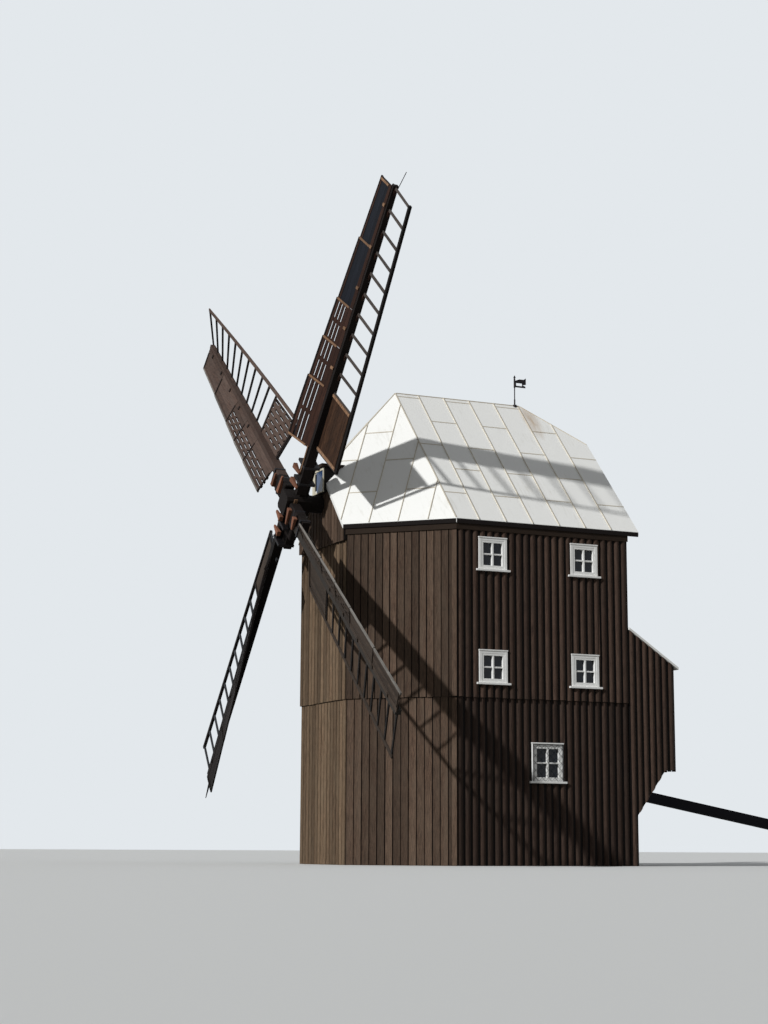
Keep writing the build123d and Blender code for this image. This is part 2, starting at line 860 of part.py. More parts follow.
def leading_edge(radius):
    """Leading face of the whip at one radius: along the stock, then tapering to the tip."""
    tip_edge = whip_trailing_y + whip_tip_width
    return between(whip_leading_y, tip_edge, max(radius, stock_reach), stock_reach, whip_tip_radius)


def whip_front(radius):
    """Front face of the whip at one radius."""
    return between(whip_front_root, whip_front_tip, radius, whip_root, whip_tip_radius)


def strip(index, radius, pivot, angle, limits, depths):
    """Rectangle across one sail at one radius, turned about a pivot on the whip."""
    frame = whip_frame(index)
    across = Plane(origin=frame.origin + frame.x_dir * radius, x_dir=frame.y_dir, z_dir=frame.x_dir)
    with BuildSketch(across) as section:
        with Locations(Pos(*drift(index, radius)) * Pos(*pivot) * Rot(0, 0, angle)):
            with Locations((sum(limits) / 2, sum(depths) / 2)):
                Rectangle(limits[1] - limits[0], depths[1] - depths[0])
    return section.sketch


def turned_strip(index, radius, limits, depth):
    """Strip turned to the weather angle about the trailing edge of the whip."""
    half = depth / 2
    return strip(index, radius, (whip_trailing_y, 0), weather(index, radius), limits, (-half, half))


def whip_section(index, radius):
    """Section of the whip at one radius."""
    limits = (whip_trailing_y, leading_edge(radius))
    return strip(index, radius, (0, 0), 0, limits, (-whip_back, whip_front(radius)))


def broken_section(index, beyond):
    """Section of the splintered end of a whip, at one distance beyond its tip."""
    width = between(broken_root_width, broken_tip_width, beyond, -broken_start, broken_length)
    edge = leading_edge(whip_tip_radius)
    limits = (edge - width, edge)
    return strip(index, whip_tip_radius + beyond, (0, 0), 0, limits, (-whip_back, width - whip_back))


def leader_section(index, radius):
    """Section of the leading boards at one radius, let in over the whip's front corner."""
    width = between(leader_root_width, leader_tip_width, radius, leader_root_radius, leader_tip_radius)
    angle = between(leader_root_angle, leader_tip_angle, radius, leader_root_radius, leader_tip_radius)
    pivot = (leading_edge(radius), whip_front(radius) - leader_rebate)
    return strip(index, radius, pivot, angle, (-leader_seat, width), (0, leader_thickness))


for index in range(4):
    sail = index + 1
    with BuildPart() as lattice:
        for radius in bar_radii:
            reach = (-lattice_width, whip_width + bar_stub)
            extrude(turned_strip(index, radius, reach, bar_depth), amount=bar_width / 2, both=True)
        hem = (-lattice_width, -lattice_width + hemlath_width)
        hem_radii = [door_bottom_radius - bar_width / 2, *reversed(bar_radii[:-1:2]), whip_tip_radius]
        loft([turned_strip(index, radius, hem, hemlath_depth) for radius in hem_radii], ruled=True)
    lattice.part.label = f"sail_{sail}_lattice"
    export_step(lattice.part, f"parts/sail_{sail}_lattice.step")

    with BuildPart() as whip:
        whip_radii = (whip_root, stock_reach, whip_tip_radius)
        loft([whip_section(index, radius) for radius in whip_radii], ruled=True)
        if sail == broken_sail:
            loft([broken_section(index, -broken_start), broken_section(index, broken_length)], ruled=True)
        if sail == rod_sail:
            sweep, lean = drift(index, whip_tip_radius)
            foot = Pos(whip_tip_radius - rod_seat, whip_trailing_y + sweep + rod_inset, lean - whip_back)
            with Locations(Location(whip_frame(index)) * foot * Rot(0, 90 + rod_lean_angle, 0)):
                Cylinder(rod_radius, rod_length, align=(Align.CENTER, Align.CENTER, Align.MIN))
        add(lattice.part, mode=Mode.SUBTRACT)
    whip.part.label = f"sail_{sail}_whip"
    export_step(whip.part, f"parts/sail_{sail}_whip.step")

    with BuildPart() as boards:
        panel = (-lattice_width + hemlath_width + panel_gap, -panel_gap)
        loft(
            [
                turned_strip(index, door_bottom_radius + bar_width / 2, panel, door_panel_thickness),
                turned_strip(index, door_top_radius - bar_width / 2, panel, door_panel_thickness),
            ],
            ruled=True,
        )
        loft(
            [leader_section(index, radius) for radius in (leader_root_radius, leader_tip_radius)],
            ruled=True,
        )
        add(whip.part, mode=Mode.SUBTRACT)
    boards.part.label = f"sail_{sail}_boards"
    export_step(boards.part, f"parts/sail_{sail}_boards.step")
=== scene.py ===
"""Dressed model of a traditional timber windmill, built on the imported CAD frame.

Metres, +Z up. The sails face -Y and +X is the right-hand side seen from the sails.
"""

from __future__ import annotations

import json
import logging
import math
import random
from dataclasses import dataclass, field
from enum import Enum
from typing import Any, Callable, Iterable, Sequence

import bmesh
import bpy
from mathutils import Matrix, Vector

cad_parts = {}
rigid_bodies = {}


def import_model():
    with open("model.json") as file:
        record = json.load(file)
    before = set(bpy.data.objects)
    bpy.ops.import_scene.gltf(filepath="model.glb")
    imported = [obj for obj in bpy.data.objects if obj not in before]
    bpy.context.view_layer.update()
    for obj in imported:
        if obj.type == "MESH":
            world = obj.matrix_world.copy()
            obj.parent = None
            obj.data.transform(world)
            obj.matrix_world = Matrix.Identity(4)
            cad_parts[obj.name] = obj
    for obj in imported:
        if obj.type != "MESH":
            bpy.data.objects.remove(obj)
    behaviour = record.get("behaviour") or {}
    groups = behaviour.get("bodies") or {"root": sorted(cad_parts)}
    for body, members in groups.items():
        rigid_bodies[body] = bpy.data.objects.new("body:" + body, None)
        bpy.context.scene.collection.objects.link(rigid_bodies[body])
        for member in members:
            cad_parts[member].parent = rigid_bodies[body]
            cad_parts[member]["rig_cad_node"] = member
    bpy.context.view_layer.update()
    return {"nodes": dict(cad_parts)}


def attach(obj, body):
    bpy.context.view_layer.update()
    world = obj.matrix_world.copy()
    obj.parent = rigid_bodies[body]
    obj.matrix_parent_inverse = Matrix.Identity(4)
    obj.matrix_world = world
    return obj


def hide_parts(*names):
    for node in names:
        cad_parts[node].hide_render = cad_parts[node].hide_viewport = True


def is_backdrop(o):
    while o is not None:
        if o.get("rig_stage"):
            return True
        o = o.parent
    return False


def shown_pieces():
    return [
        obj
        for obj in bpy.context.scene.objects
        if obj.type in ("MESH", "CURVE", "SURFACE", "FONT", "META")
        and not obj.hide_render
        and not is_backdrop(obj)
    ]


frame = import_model()

log = logging.getLogger("windmill")
UP = Vector((0, 0, 1))
Span = tuple[float, float]
Block = tuple[Span, Span, Span]
Material = bpy.types.Material
Mesh = bmesh.types.BMesh


# Small helpers


def linear(colour: str, alpha: float = 1.0) -> tuple[float, float, float, float]:
    """Turn an sRGB hex colour into linear values.

    Args:
        colour: Six hex digits, with or without a leading hash.
        alpha: Opacity to put beside it.

    Returns:
        Red, green, blue and alpha, linear.
    """
    digits = colour.lstrip("#")
    parts = [int(digits[i : i + 2], 16) / 255 for i in (0, 2, 4)]
    turned = [p / 12.92 if p <= 0.04045 else ((p + 0.055) / 1.055) ** 2.4 for p in parts]
    return (turned[0], turned[1], turned[2], alpha)


def add_node(
    tree: bpy.types.NodeTree, kind: str, settings: dict | None = None, links: dict | None = None
) -> bpy.types.Node:
    """Add one node with its settings and the sockets that feed it.

    Args:
        tree: Node tree that takes the node.
        kind: Blender's name of the node type.
        settings: Attributes by name, and input values by socket name or number.
        links: Output sockets by the name or number of the input that they feed.

    Returns:
        The new node.
    """
    node = tree.nodes.new(kind)
    for key, value in (settings or {}).items():
        if isinstance(key, int) or key in node.inputs:
            node.inputs[key].default_value = value
        else:
            setattr(node, key, value)
    for key, source in (links or {}).items():
        tree.links.new(source, node.inputs[key])
    return node


def blank_material(name: str) -> tuple[Material, bpy.types.NodeTree, bpy.types.Node]:
    """Make an empty node material with one surface shader.

    Args:
        name: Name of the material.

    Returns:
        The material, its node tree and its surface shader.
    """
    material = bpy.data.materials.new(name)
    material.use_nodes = True
    tree = material.node_tree
    tree.nodes.clear()
    shader = add_node(tree, "ShaderNodeBsdfPrincipled")
    add_node(tree, "ShaderNodeOutputMaterial", links={"Surface": shader.outputs["BSDF"]})
    return material, tree, shader


def piece_from(bm: Mesh, name: str, material: Material, body: str) -> bpy.types.Object:
    """Turn a bmesh into a finished piece at the origin that rides on a body.

    Args:
        bm: Mesh data, freed here.
        name: Name of the piece.
        material: Finish of all its faces.
        body: CAD body that it rides on.

    Returns:
        The new object.
    """
    mesh = bpy.data.meshes.new(name)
    bm.to_mesh(mesh)
    bm.free()
    mesh.materials.append(material)
    piece = bpy.data.objects.new(name, mesh)
    bpy.context.scene.collection.objects.link(piece)
    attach(piece, body)
    log.info("%s: %d faces", name, len(mesh.polygons))
    return piece


def frame_matrix(origin: Vector, along: Vector, up: Vector, out: Vector) -> Matrix:
    """Matrix that maps local along, up and out to the model's axes."""
    turn = Matrix((along, up, out)).transposed().to_4x4()
    return Matrix.Translation(origin) @ turn


@dataclass(frozen=True)
class Facet:
    """Flat face of the building, with distances along it, up it and out of it."""

    origin: Vector
    along: Vector
    up: Vector

    @property
    def out(self) -> Vector:
        """Direction away from the building."""
        return self.along.cross(self.up)

    def matrix(self) -> Matrix:
        """Matrix from the facet's own distances to the model."""
        return frame_matrix(self.origin, self.along, self.up, self.out)

    def point(self, a: float, b: float) -> Vector:
        """Model point at distances along and up."""
        return self.origin + self.along * a + self.up * b

    def mirrored(self, length: float) -> Facet:
        """The same facet on the other side of the building, read from its other end.

        Args:
            length: Length of the facet.

        Returns:
            The facet on the left side.
        """
        far = self.point(length, 0)
        return Facet(
            Vector((-far.x, far.y, far.z)),
            Vector((self.along.x, -self.along.y, -self.along.z)),
            Vector((-self.up.x, self.up.y, self.up.z)),
        )


def flip(point: Vector) -> Vector:
    """The same point on the left side."""
    return Vector((-point.x, point.y, point.z))


def plane_normal(a: Vector, b: Vector, c: Vector) -> Vector:
    """Upward normal of the plane through three points."""
    normal = (b - a).cross(c - a).normalized()
    return normal if normal.z > 0 else -normal


def add_block(
    bm: Mesh, place: Matrix, a: Span, b: Span, c: Span, mark: int = 0
) -> list[bmesh.types.BMVert]:
    """Add a plain block between limits in a local frame.

    Args:
        bm: Mesh that takes it.
        place: Local frame of the block.
        a: Limits along the first local axis.
        b: Limits along the second.
        c: Limits along the third.
        mark: Number kept on its faces, which picks its share of grain and tone.

    Returns:
        Its vertices.
    """
    middle = Vector(((a[0] + a[1]) / 2, (b[0] + b[1]) / 2, (c[0] + c[1]) / 2))
    sizes = Matrix.Diagonal((a[1] - a[0], b[1] - b[0], c[1] - c[0], 1))
    layer = bm.faces.layers.int.get("board") or bm.faces.layers.int.new("board")
    cube = bmesh.ops.create_cube(bm, size=1, matrix=place @ Matrix.Translation(middle) @ sizes)
    for face in {f for v in cube["verts"] for f in v.link_faces}:
        face[layer] = mark
    return cube["verts"]


def soften(bm: Mesh, width: float) -> None:
    """Take the sharpness off all edges with one small bevel.

    Args:
        bm: Mesh to bevel.
        width: Width of the bevel.
    """
    bmesh.ops.bevel(
        bm, geom=list(bm.edges), offset=width, affect="EDGES", segments=1, profile=0.5, material=-1,
        clamp_overlap=True,
    )


def trim(bm: Mesh, point: Vector, outwards: Vector) -> None:
    """Cut away what lies beyond a plane, and close the cuts.

    Args:
        bm: Mesh to cut.
        point: Any point of the plane.
        outwards: Direction in which everything goes.
    """
    geometry = bm.verts[:] + bm.edges[:] + bm.faces[:]
    cut = bmesh.ops.bisect_plane(
        bm, geom=geometry, dist=1e-6, plane_co=point, plane_no=outwards, clear_outer=True
    )
    close(bm, (e for e in cut["geom_cut"] if isinstance(e, bmesh.types.BMEdge)))


def close(bm: Mesh, edges: Iterable[bmesh.types.BMEdge]) -> None:
    """Fill the holes that open edges go round.

    Args:
        bm: Mesh with the holes.
        edges: Edges among which the open ones are found.
    """
    rims = [e for e in edges if e.is_boundary]
    if rims:
        bmesh.ops.holes_fill(bm, edges=rims, sides=0)


def lay_grain(bm: Mesh, along: Vector, seed: int) -> None:
    """Give each board its own stretch of grain and its own tone.

    The grain map runs along the board in metres, and the tone is a face attribute.

    Args:
        bm: Mesh whose faces carry a board number.
        along: Direction of the grain.
        seed: Start of the random numbers.
    """
    board = bm.faces.layers.int.get("board") or bm.faces.layers.int.new("board")
    grain = bm.loops.layers.uv.new("grain")
    tone = bm.faces.layers.float.new("tone")
    for face in bm.faces:
        chance = random.Random(seed * 7919 + face[board])
        shift_u, shift_v, level = chance.uniform(0, 40), chance.uniform(0, 40), chance.random()
        across = face.normal.cross(along)
        if across.length < 0.2:
            across = along.orthogonal()
        across.normalize()
        face[tone] = level
        for loop in face.loops:
            place = loop.vert.co
            loop[grain].uv = (place.dot(along) + shift_u, place.dot(across) + shift_v)


@dataclass(frozen=True)
class Blockwork:
    """Piece made of plain blocks: its name, finish, record slot, body, edges and grain."""

    name: str
    material: Material
    slot: str
    body: str = "mill"
    soft: float = 0.0
    grain: Vector | None = None
    seed: int = 0

    def make(self, blocks: Iterable[tuple[Matrix, Block, int]]) -> bpy.types.Object:
        """Build the piece.

        Args:
            blocks: Local frame, limits and board number of each block.

        Returns:
            The new object.
        """
        bm = bmesh.new()
        for place, limits, mark in blocks:
            add_block(bm, place, *limits, mark)
        if self.soft:
            soften(bm, self.soft)
        if self.grain is not None:
            lay_grain(bm, self.grain, self.seed)
        return piece_from(bm, self.name, self.material, self.body)


# Finishes


class Grain(Enum):
    """Where a timber finish reads the run of its grain."""

    MAP = "grain map of the boards"
    OBJECT = "model axes, turned to the timber"


@dataclass(frozen=True)
class SawnTimber:
    """Sawn softwood, tarred or bare, and greyed by weather.

    The grain gives fine streaks along each board, and the weather gives broad soft patches.
    """

    name: str
    dark: str
    light: str
    grey: str
    grain: Grain = Grain.MAP
    turn: tuple[float, float, float] = (0.0, 0.0, 0.0)
    rough: float = 0.82
    greying: float = 0.45
    depth_mm: float = 1.2
    ramp: Span = (0.52, 0.94)
    spread: float = 0.28

    def make(self) -> Material:
        """Build the node material.

        Returns:
            The material.
        """
        material, tree, shader = blank_material(self.name)
        if self.grain is Grain.MAP:
            source = add_node(tree, "ShaderNodeUVMap", {"uv_map": "grain"}).outputs["UV"]
        else:
            place = add_node(tree, "ShaderNodeTexCoord").outputs["Object"]
            source = add_node(
                tree,
                "ShaderNodeMapping",
                {"vector_type": "POINT", "Rotation": self.turn},
                {"Vector": place},
            ).outputs["Vector"]
        # 9 mm growth rings and 2.4 mm fibres are stretched about thirty times along the board
        rings = add_node(
            tree,
            "ShaderNodeMapping",
            {"Scale": (3.5, 110.0, 110.0)},
            {"Vector": source},
        )
        fibres = add_node(
            tree,
            "ShaderNodeMapping",
            {"Scale": (14.0, 420.0, 420.0)},
            {"Vector": source},
        )
        streaks = add_node(
            tree,
            "ShaderNodeTexNoise",
            {"Scale": 1.0, "Detail": 6.0, "Roughness": 0.62, "Distortion": 0.35},
            {"Vector": rings.outputs["Vector"]},
        )
        fine = add_node(
            tree,
            "ShaderNodeTexNoise",
            {"Scale": 1.0, "Detail": 3.0},
            {"Vector": fibres.outputs["Vector"]},
        )
        # Weather stains are 0.2 m wide and a good metre long
        weather = add_node(tree, "ShaderNodeMapping", {"Scale": (0.55, 3.0, 3.0)}, {"Vector": source})
        patches = add_node(
            tree,
            "ShaderNodeTexNoise",
            {"Scale": 1.6, "Detail": 5.0, "Roughness": 0.6},
            {"Vector": weather.outputs["Vector"]},
        )
        tone = add_node(tree, "ShaderNodeAttribute", {"attribute_name": "tone"})
        both = add_node(
            tree,
            "ShaderNodeMath",
            {"operation": "MULTIPLY_ADD", 1: 0.45},
            {0: fine.outputs["Fac"], 2: streaks.outputs["Fac"]},
        )
        ramp = add_node(tree, "ShaderNodeValToRGB", links={"Fac": both.outputs["Value"]})
        ramp.color_ramp.elements[0].position = self.ramp[0]
        ramp.color_ramp.elements[0].color = linear(self.dark)
        ramp.color_ramp.elements[1].position = self.ramp[1]
        ramp.color_ramp.elements[1].color = linear(self.light)
        spread = add_node(
            tree,
            "ShaderNodeMapRange",
            {"From Min": 0.35, "From Max": 0.72, "To Min": 0.0, "To Max": self.greying},
            {"Value": patches.outputs["Fac"]},
        )
        greyed = add_node(
            tree,
            "ShaderNodeMix",
            {"data_type": "RGBA", 7: linear(self.grey)},
            {0: spread.outputs["Result"], 6: ramp.outputs["Color"]},
        )
        level = add_node(
            tree,
            "ShaderNodeMapRange",
            {"From Min": 0.0, "From Max": 1.0, "To Min": 1 - self.spread, "To Max": 1 + self.spread},
            {"Value": tone.outputs["Fac"]},
        )
        shade = add_node(
            tree,
            "ShaderNodeHueSaturation",
            {"Saturation": 1.0},
            {"Color": greyed.outputs[2], "Value": level.outputs["Result"]},
        )
        tree.links.new(shade.outputs["Color"], shader.inputs["Base Color"])
        rough = add_node(
            tree,
            "ShaderNodeMapRange",
            {"To Min": self.rough - 0.12, "To Max": self.rough + 0.1},
            {"Value": streaks.outputs["Fac"]},
        )
        tree.links.new(rough.outputs["Result"], shader.inputs["Roughness"])
        bump = add_node(
            tree,
            "ShaderNodeBump",
            {"Strength": 0.6, "Distance": self.depth_mm / 1000},
            {"Height": both.outputs["Value"]},
        )
        tree.links.new(bump.outputs["Normal"], shader.inputs["Normal"])
        shader.inputs["Specular IOR Level"].default_value = 0.15
        return material


@dataclass(frozen=True)
class PaintedSheet:
    """Galvanised sheet steel with matt white roof paint.

    The sheets lie slightly uneven, dust and rust run down from the seams, and the paint is dull.
    """

    name: str
    paint: str = "#FAFAF6"
    dust: str = "#DAD8CF"
    rust: str = "#B79B78"
    rust_share: float = 0.3
    vane_foot: tuple[float, float, float] = (0.5, 2.35, 11.75)

    def make(self) -> Material:
        """Build the node material.

        Returns:
            The material.
        """
        material, tree, shader = blank_material(self.name)
        place = add_node(tree, "ShaderNodeTexCoord").outputs["Object"]
        # Streaks 60 mm wide run down the slope, and soft dirt lies in patches of about a metre
        run = add_node(tree, "ShaderNodeMapping", {"Scale": (3.0, 16.0, 1.2)}, {"Vector": place})
        streaks = add_node(
            tree,
            "ShaderNodeTexNoise",
            {"Scale": 1.0, "Detail": 5.0, "Roughness": 0.6},
            {"Vector": run.outputs["Vector"]},
        )
        patches = add_node(
            tree,
            "ShaderNodeTexNoise",
            {"Scale": 0.9, "Detail": 6.0, "Roughness": 0.65},
            {"Vector": place},
        )
        dirt = add_node(
            tree,
            "ShaderNodeMath",
            {"operation": "MULTIPLY"},
            {0: streaks.outputs["Fac"], 1: patches.outputs["Fac"]},
        )
        dusty = add_node(
            tree,
            "ShaderNodeMapRange",
            {"From Min": 0.3, "From Max": 0.5, "To Min": 0.0, "To Max": 0.6},
            {"Value": dirt.outputs["Value"]},
        )
        base = add_node(
            tree,
            "ShaderNodeMix",
            {"data_type": "RGBA", 6: linear(self.paint), 7: linear(self.dust)},
            {0: dusty.outputs["Result"]},
        )
        # Rust breaks out in spots of about 0.4 m
        spots = add_node(
            tree,
            "ShaderNodeTexNoise",
            {"Scale": 2.3, "Detail": 8.0, "Roughness": 0.7},
            {"Vector": place},
        )
        rusty = add_node(
            tree,
            "ShaderNodeMapRange",
            {"From Min": 0.68, "From Max": 0.84, "To Min": 0.0, "To Max": self.rust_share},
            {"Value": spots.outputs["Fac"]},
        )
        stained = add_node(
            tree,
            "ShaderNodeMix",
            {"data_type": "RGBA", 7: linear(self.rust)},
            {0: rusty.outputs["Result"], 6: base.outputs[2]},
        )
        # Rust water has run about a metre down the slope from the vane's foot
        foot = add_node(
            tree,
            "ShaderNodeMapping",
            {"vector_type": "TEXTURE", "Location": self.vane_foot, "Scale": (1.1, 0.34, 1.1)},
            {"Vector": place},
        )
        near = add_node(
            tree,
            "ShaderNodeTexGradient",
            {"gradient_type": "SPHERICAL"},
            {"Vector": foot.outputs["Vector"]},
        )
        run_off = add_node(
            tree,
            "ShaderNodeMath",
            {"operation": "MULTIPLY"},
            {0: near.outputs["Fac"], 1: streaks.outputs["Fac"]},
        )
        trail = add_node(
            tree,
            "ShaderNodeMapRange",
            {"From Min": 0.06, "From Max": 0.5, "To Max": 0.75},
            {"Value": run_off.outputs["Value"]},
        )
        rusted = add_node(
            tree,
            "ShaderNodeMix",
            {"data_type": "RGBA", 7: linear(self.rust)},
            {0: trail.outputs["Result"], 6: stained.outputs[2]},
        )
        tree.links.new(rusted.outputs[2], shader.inputs["Base Color"])
        shader.inputs["Roughness"].default_value = 0.55
        shader.inputs["Specular IOR Level"].default_value = 0.35
        # Thin sheet dents and waves over half a metre, a few millimetres deep
        waves = add_node(
            tree,
            "ShaderNodeTexNoise",
            {"Scale": 2.0, "Detail": 2.0},
            {"Vector": place},
        )
        bump = add_node(
            tree,
            "ShaderNodeBump",
            {"Strength": 0.5, "Distance": 0.012},
            {"Height": waves.outputs["Fac"]},
        )
        tree.links.new(bump.outputs["Normal"], shader.inputs["Normal"])
        return material


@dataclass(frozen=True)
class BrushedPaint:
    """Oil paint brushed on planed softwood, slightly glossy, with grime in the low spots."""

    name: str
    paint: str
    grime: str
    rough: float = 0.42

    def make(self) -> Material:
        """Build the node material.

        Returns:
            The material.
        """
        material, tree, shader = blank_material(self.name)
        place = add_node(tree, "ShaderNodeTexCoord").outputs["Object"]
        # Grime lies in patches of about 0.14 m
        grime = add_node(
            tree,
            "ShaderNodeTexNoise",
            {"Scale": 7.0, "Detail": 6.0, "Roughness": 0.7},
            {"Vector": place},
        )
        share = add_node(
            tree,
            "ShaderNodeMapRange",
            {"From Min": 0.5, "From Max": 0.8, "To Min": 0.0, "To Max": 0.55},
            {"Value": grime.outputs["Fac"]},
        )
        colour = add_node(
            tree,
            "ShaderNodeMix",
            {"data_type": "RGBA", 6: linear(self.paint), 7: linear(self.grime)},
            {0: share.outputs["Result"]},
        )
        tree.links.new(colour.outputs[2], shader.inputs["Base Color"])
        # Brush marks about 3 mm apart
        marks = add_node(
            tree,
            "ShaderNodeTexNoise",
            {"Scale": 320.0, "Detail": 2.0},
            {"Vector": place},
        )
        bump = add_node(
            tree,
            "ShaderNodeBump",
            {"Strength": 0.25, "Distance": 0.0006},
            {"Height": marks.outputs["Fac"]},
        )
        tree.links.new(bump.outputs["Normal"], shader.inputs["Normal"])
        shader.inputs["Roughness"].default_value = self.rough
        return material


@dataclass(frozen=True)
class OldGlass:
    """Drawn window glass, slightly wavy and dusty, whose base colour is painted: painted shade of the
    unlit room behind it, and on the dormer pane a painted sky reflection.
    """

    name: str
    painted_view: str = "#0F1622"
    dust: str = "#28303A"

    def make(self) -> Material:
        """Build the node material.

        Returns:
            The material.
        """
        material, tree, shader = blank_material(self.name)
        place = add_node(tree, "ShaderNodeTexCoord").outputs["Object"]
        # Dust lies in clouds of about 0.2 m; on the dormer pane its colour is a lighter blue of the
        # painted sky reflection
        cloud = add_node(
            tree,
            "ShaderNodeTexNoise",
            {"Scale": 5.0, "Detail": 5.0, "Roughness": 0.6},
            {"Vector": place},
        )
        share = add_node(
            tree,
            "ShaderNodeMapRange",
            {"From Min": 0.45, "From Max": 0.85, "To Min": 0.0, "To Max": 0.5},
            {"Value": cloud.outputs["Fac"]},
        )
        colour = add_node(
            tree,
            "ShaderNodeMix",
            {"data_type": "RGBA", 6: linear(self.painted_view), 7: linear(self.dust)},
            {0: share.outputs["Result"]},
        )
        tree.links.new(colour.outputs[2], shader.inputs["Base Color"])
        ripple = add_node(
            tree,
            "ShaderNodeTexNoise",
            {"Scale": 9.0, "Detail": 1.0},
            {"Vector": place},
        )
        bump = add_node(
            tree,
            "ShaderNodeBump",
            {"Strength": 0.3, "Distance": 0.003},
            {"Height": ripple.outputs["Fac"]},
        )
        tree.links.new(bump.outputs["Normal"], shader.inputs["Normal"])
        shader.inputs["Roughness"].default_value = 0.06
        shader.inputs["IOR"].default_value = 1.5
        shader.inputs["Specular IOR Level"].default_value = 0.25
        shader.inputs["Transmission Weight"].default_value = 0.15
        return material


@dataclass(frozen=True)
class ForgedIron:
    """Forged iron, blackened and lightly rusted, rough where the scale has lifted."""

    name: str
    scale_colour: str = "#17171A"
    rust: str = "#4B2E20"
    rust_share: float = 0.5

    def make(self) -> Material:
        """Build the node material.

        Returns:
            The material.
        """
        material, tree, shader = blank_material(self.name)
        place = add_node(tree, "ShaderNodeTexCoord").outputs["Object"]
        flakes = add_node(
            tree,
            "ShaderNodeTexNoise",
            {"Scale": 26.0, "Detail": 8.0, "Roughness": 0.65},
            {"Vector": place},
        )
        share = add_node(
            tree,
            "ShaderNodeMapRange",
            {"From Min": 0.5, "From Max": 0.72, "To Min": 0.0, "To Max": self.rust_share},
            {"Value": flakes.outputs["Fac"]},
        )
        colour = add_node(
            tree,
            "ShaderNodeMix",
            {"data_type": "RGBA", 6: linear(self.scale_colour), 7: linear(self.rust)},
            {0: share.outputs["Result"]},
        )
        tree.links.new(colour.outputs[2], shader.inputs["Base Color"])
        rough = add_node(
            tree,
            "ShaderNodeMapRange",
            {"To Min": 0.45, "To Max": 0.8},
            {"Value": flakes.outputs["Fac"]},
        )
        tree.links.new(rough.outputs["Result"], shader.inputs["Roughness"])
        bump = add_node(
            tree,
            "ShaderNodeBump",
            {"Strength": 0.4, "Distance": 0.0015},
            {"Height": flakes.outputs["Fac"]},
        )
        tree.links.new(bump.outputs["Normal"], shader.inputs["Normal"])
        shader.inputs["Metallic"].default_value = 0.6
        return material


@dataclass(frozen=True)
class StagePaint:
    """Plain matt paint of the studio floor, pale to look at but as dark as dry ground to the walls."""

    name: str
    colour: str
    bounce: str

    def make(self) -> Material:
        """Build the node material.

        Returns:
            The material.
        """
        material, tree, shader = blank_material(self.name)
        ray = add_node(tree, "ShaderNodeLightPath")
        tone = add_node(
            tree,
            "ShaderNodeMix",
            {"data_type": "RGBA", 6: linear(self.colour), 7: linear(self.bounce)},
            {0: ray.outputs["Is Diffuse Ray"]},
        )
        tree.links.new(tone.outputs[2], shader.inputs["Base Color"])
        shader.inputs["Roughness"].default_value = 0.9
        return material


# Turns that lay the grain upright, along Y, and down the tail pole
UPRIGHT = (0.0, math.radians(90), 0.0)
ALONG_Y = (0.0, 0.0, math.radians(90))
DOWN_POLE = (math.radians(10), 0.0, math.radians(90))
# Contrast of the grain on the shaded walls, and on the lit ones with their uneven boards
SHADED = {"ramp": (0.56, 0.88)}
SUNLIT = {"ramp": (0.58, 0.86), "spread": 0.36}


def made(finish: SawnTimber | PaintedSheet | BrushedPaint | OldGlass | ForgedIron) -> Any:
    """Palette entry that makes one finish."""
    return field(default_factory=finish.make)


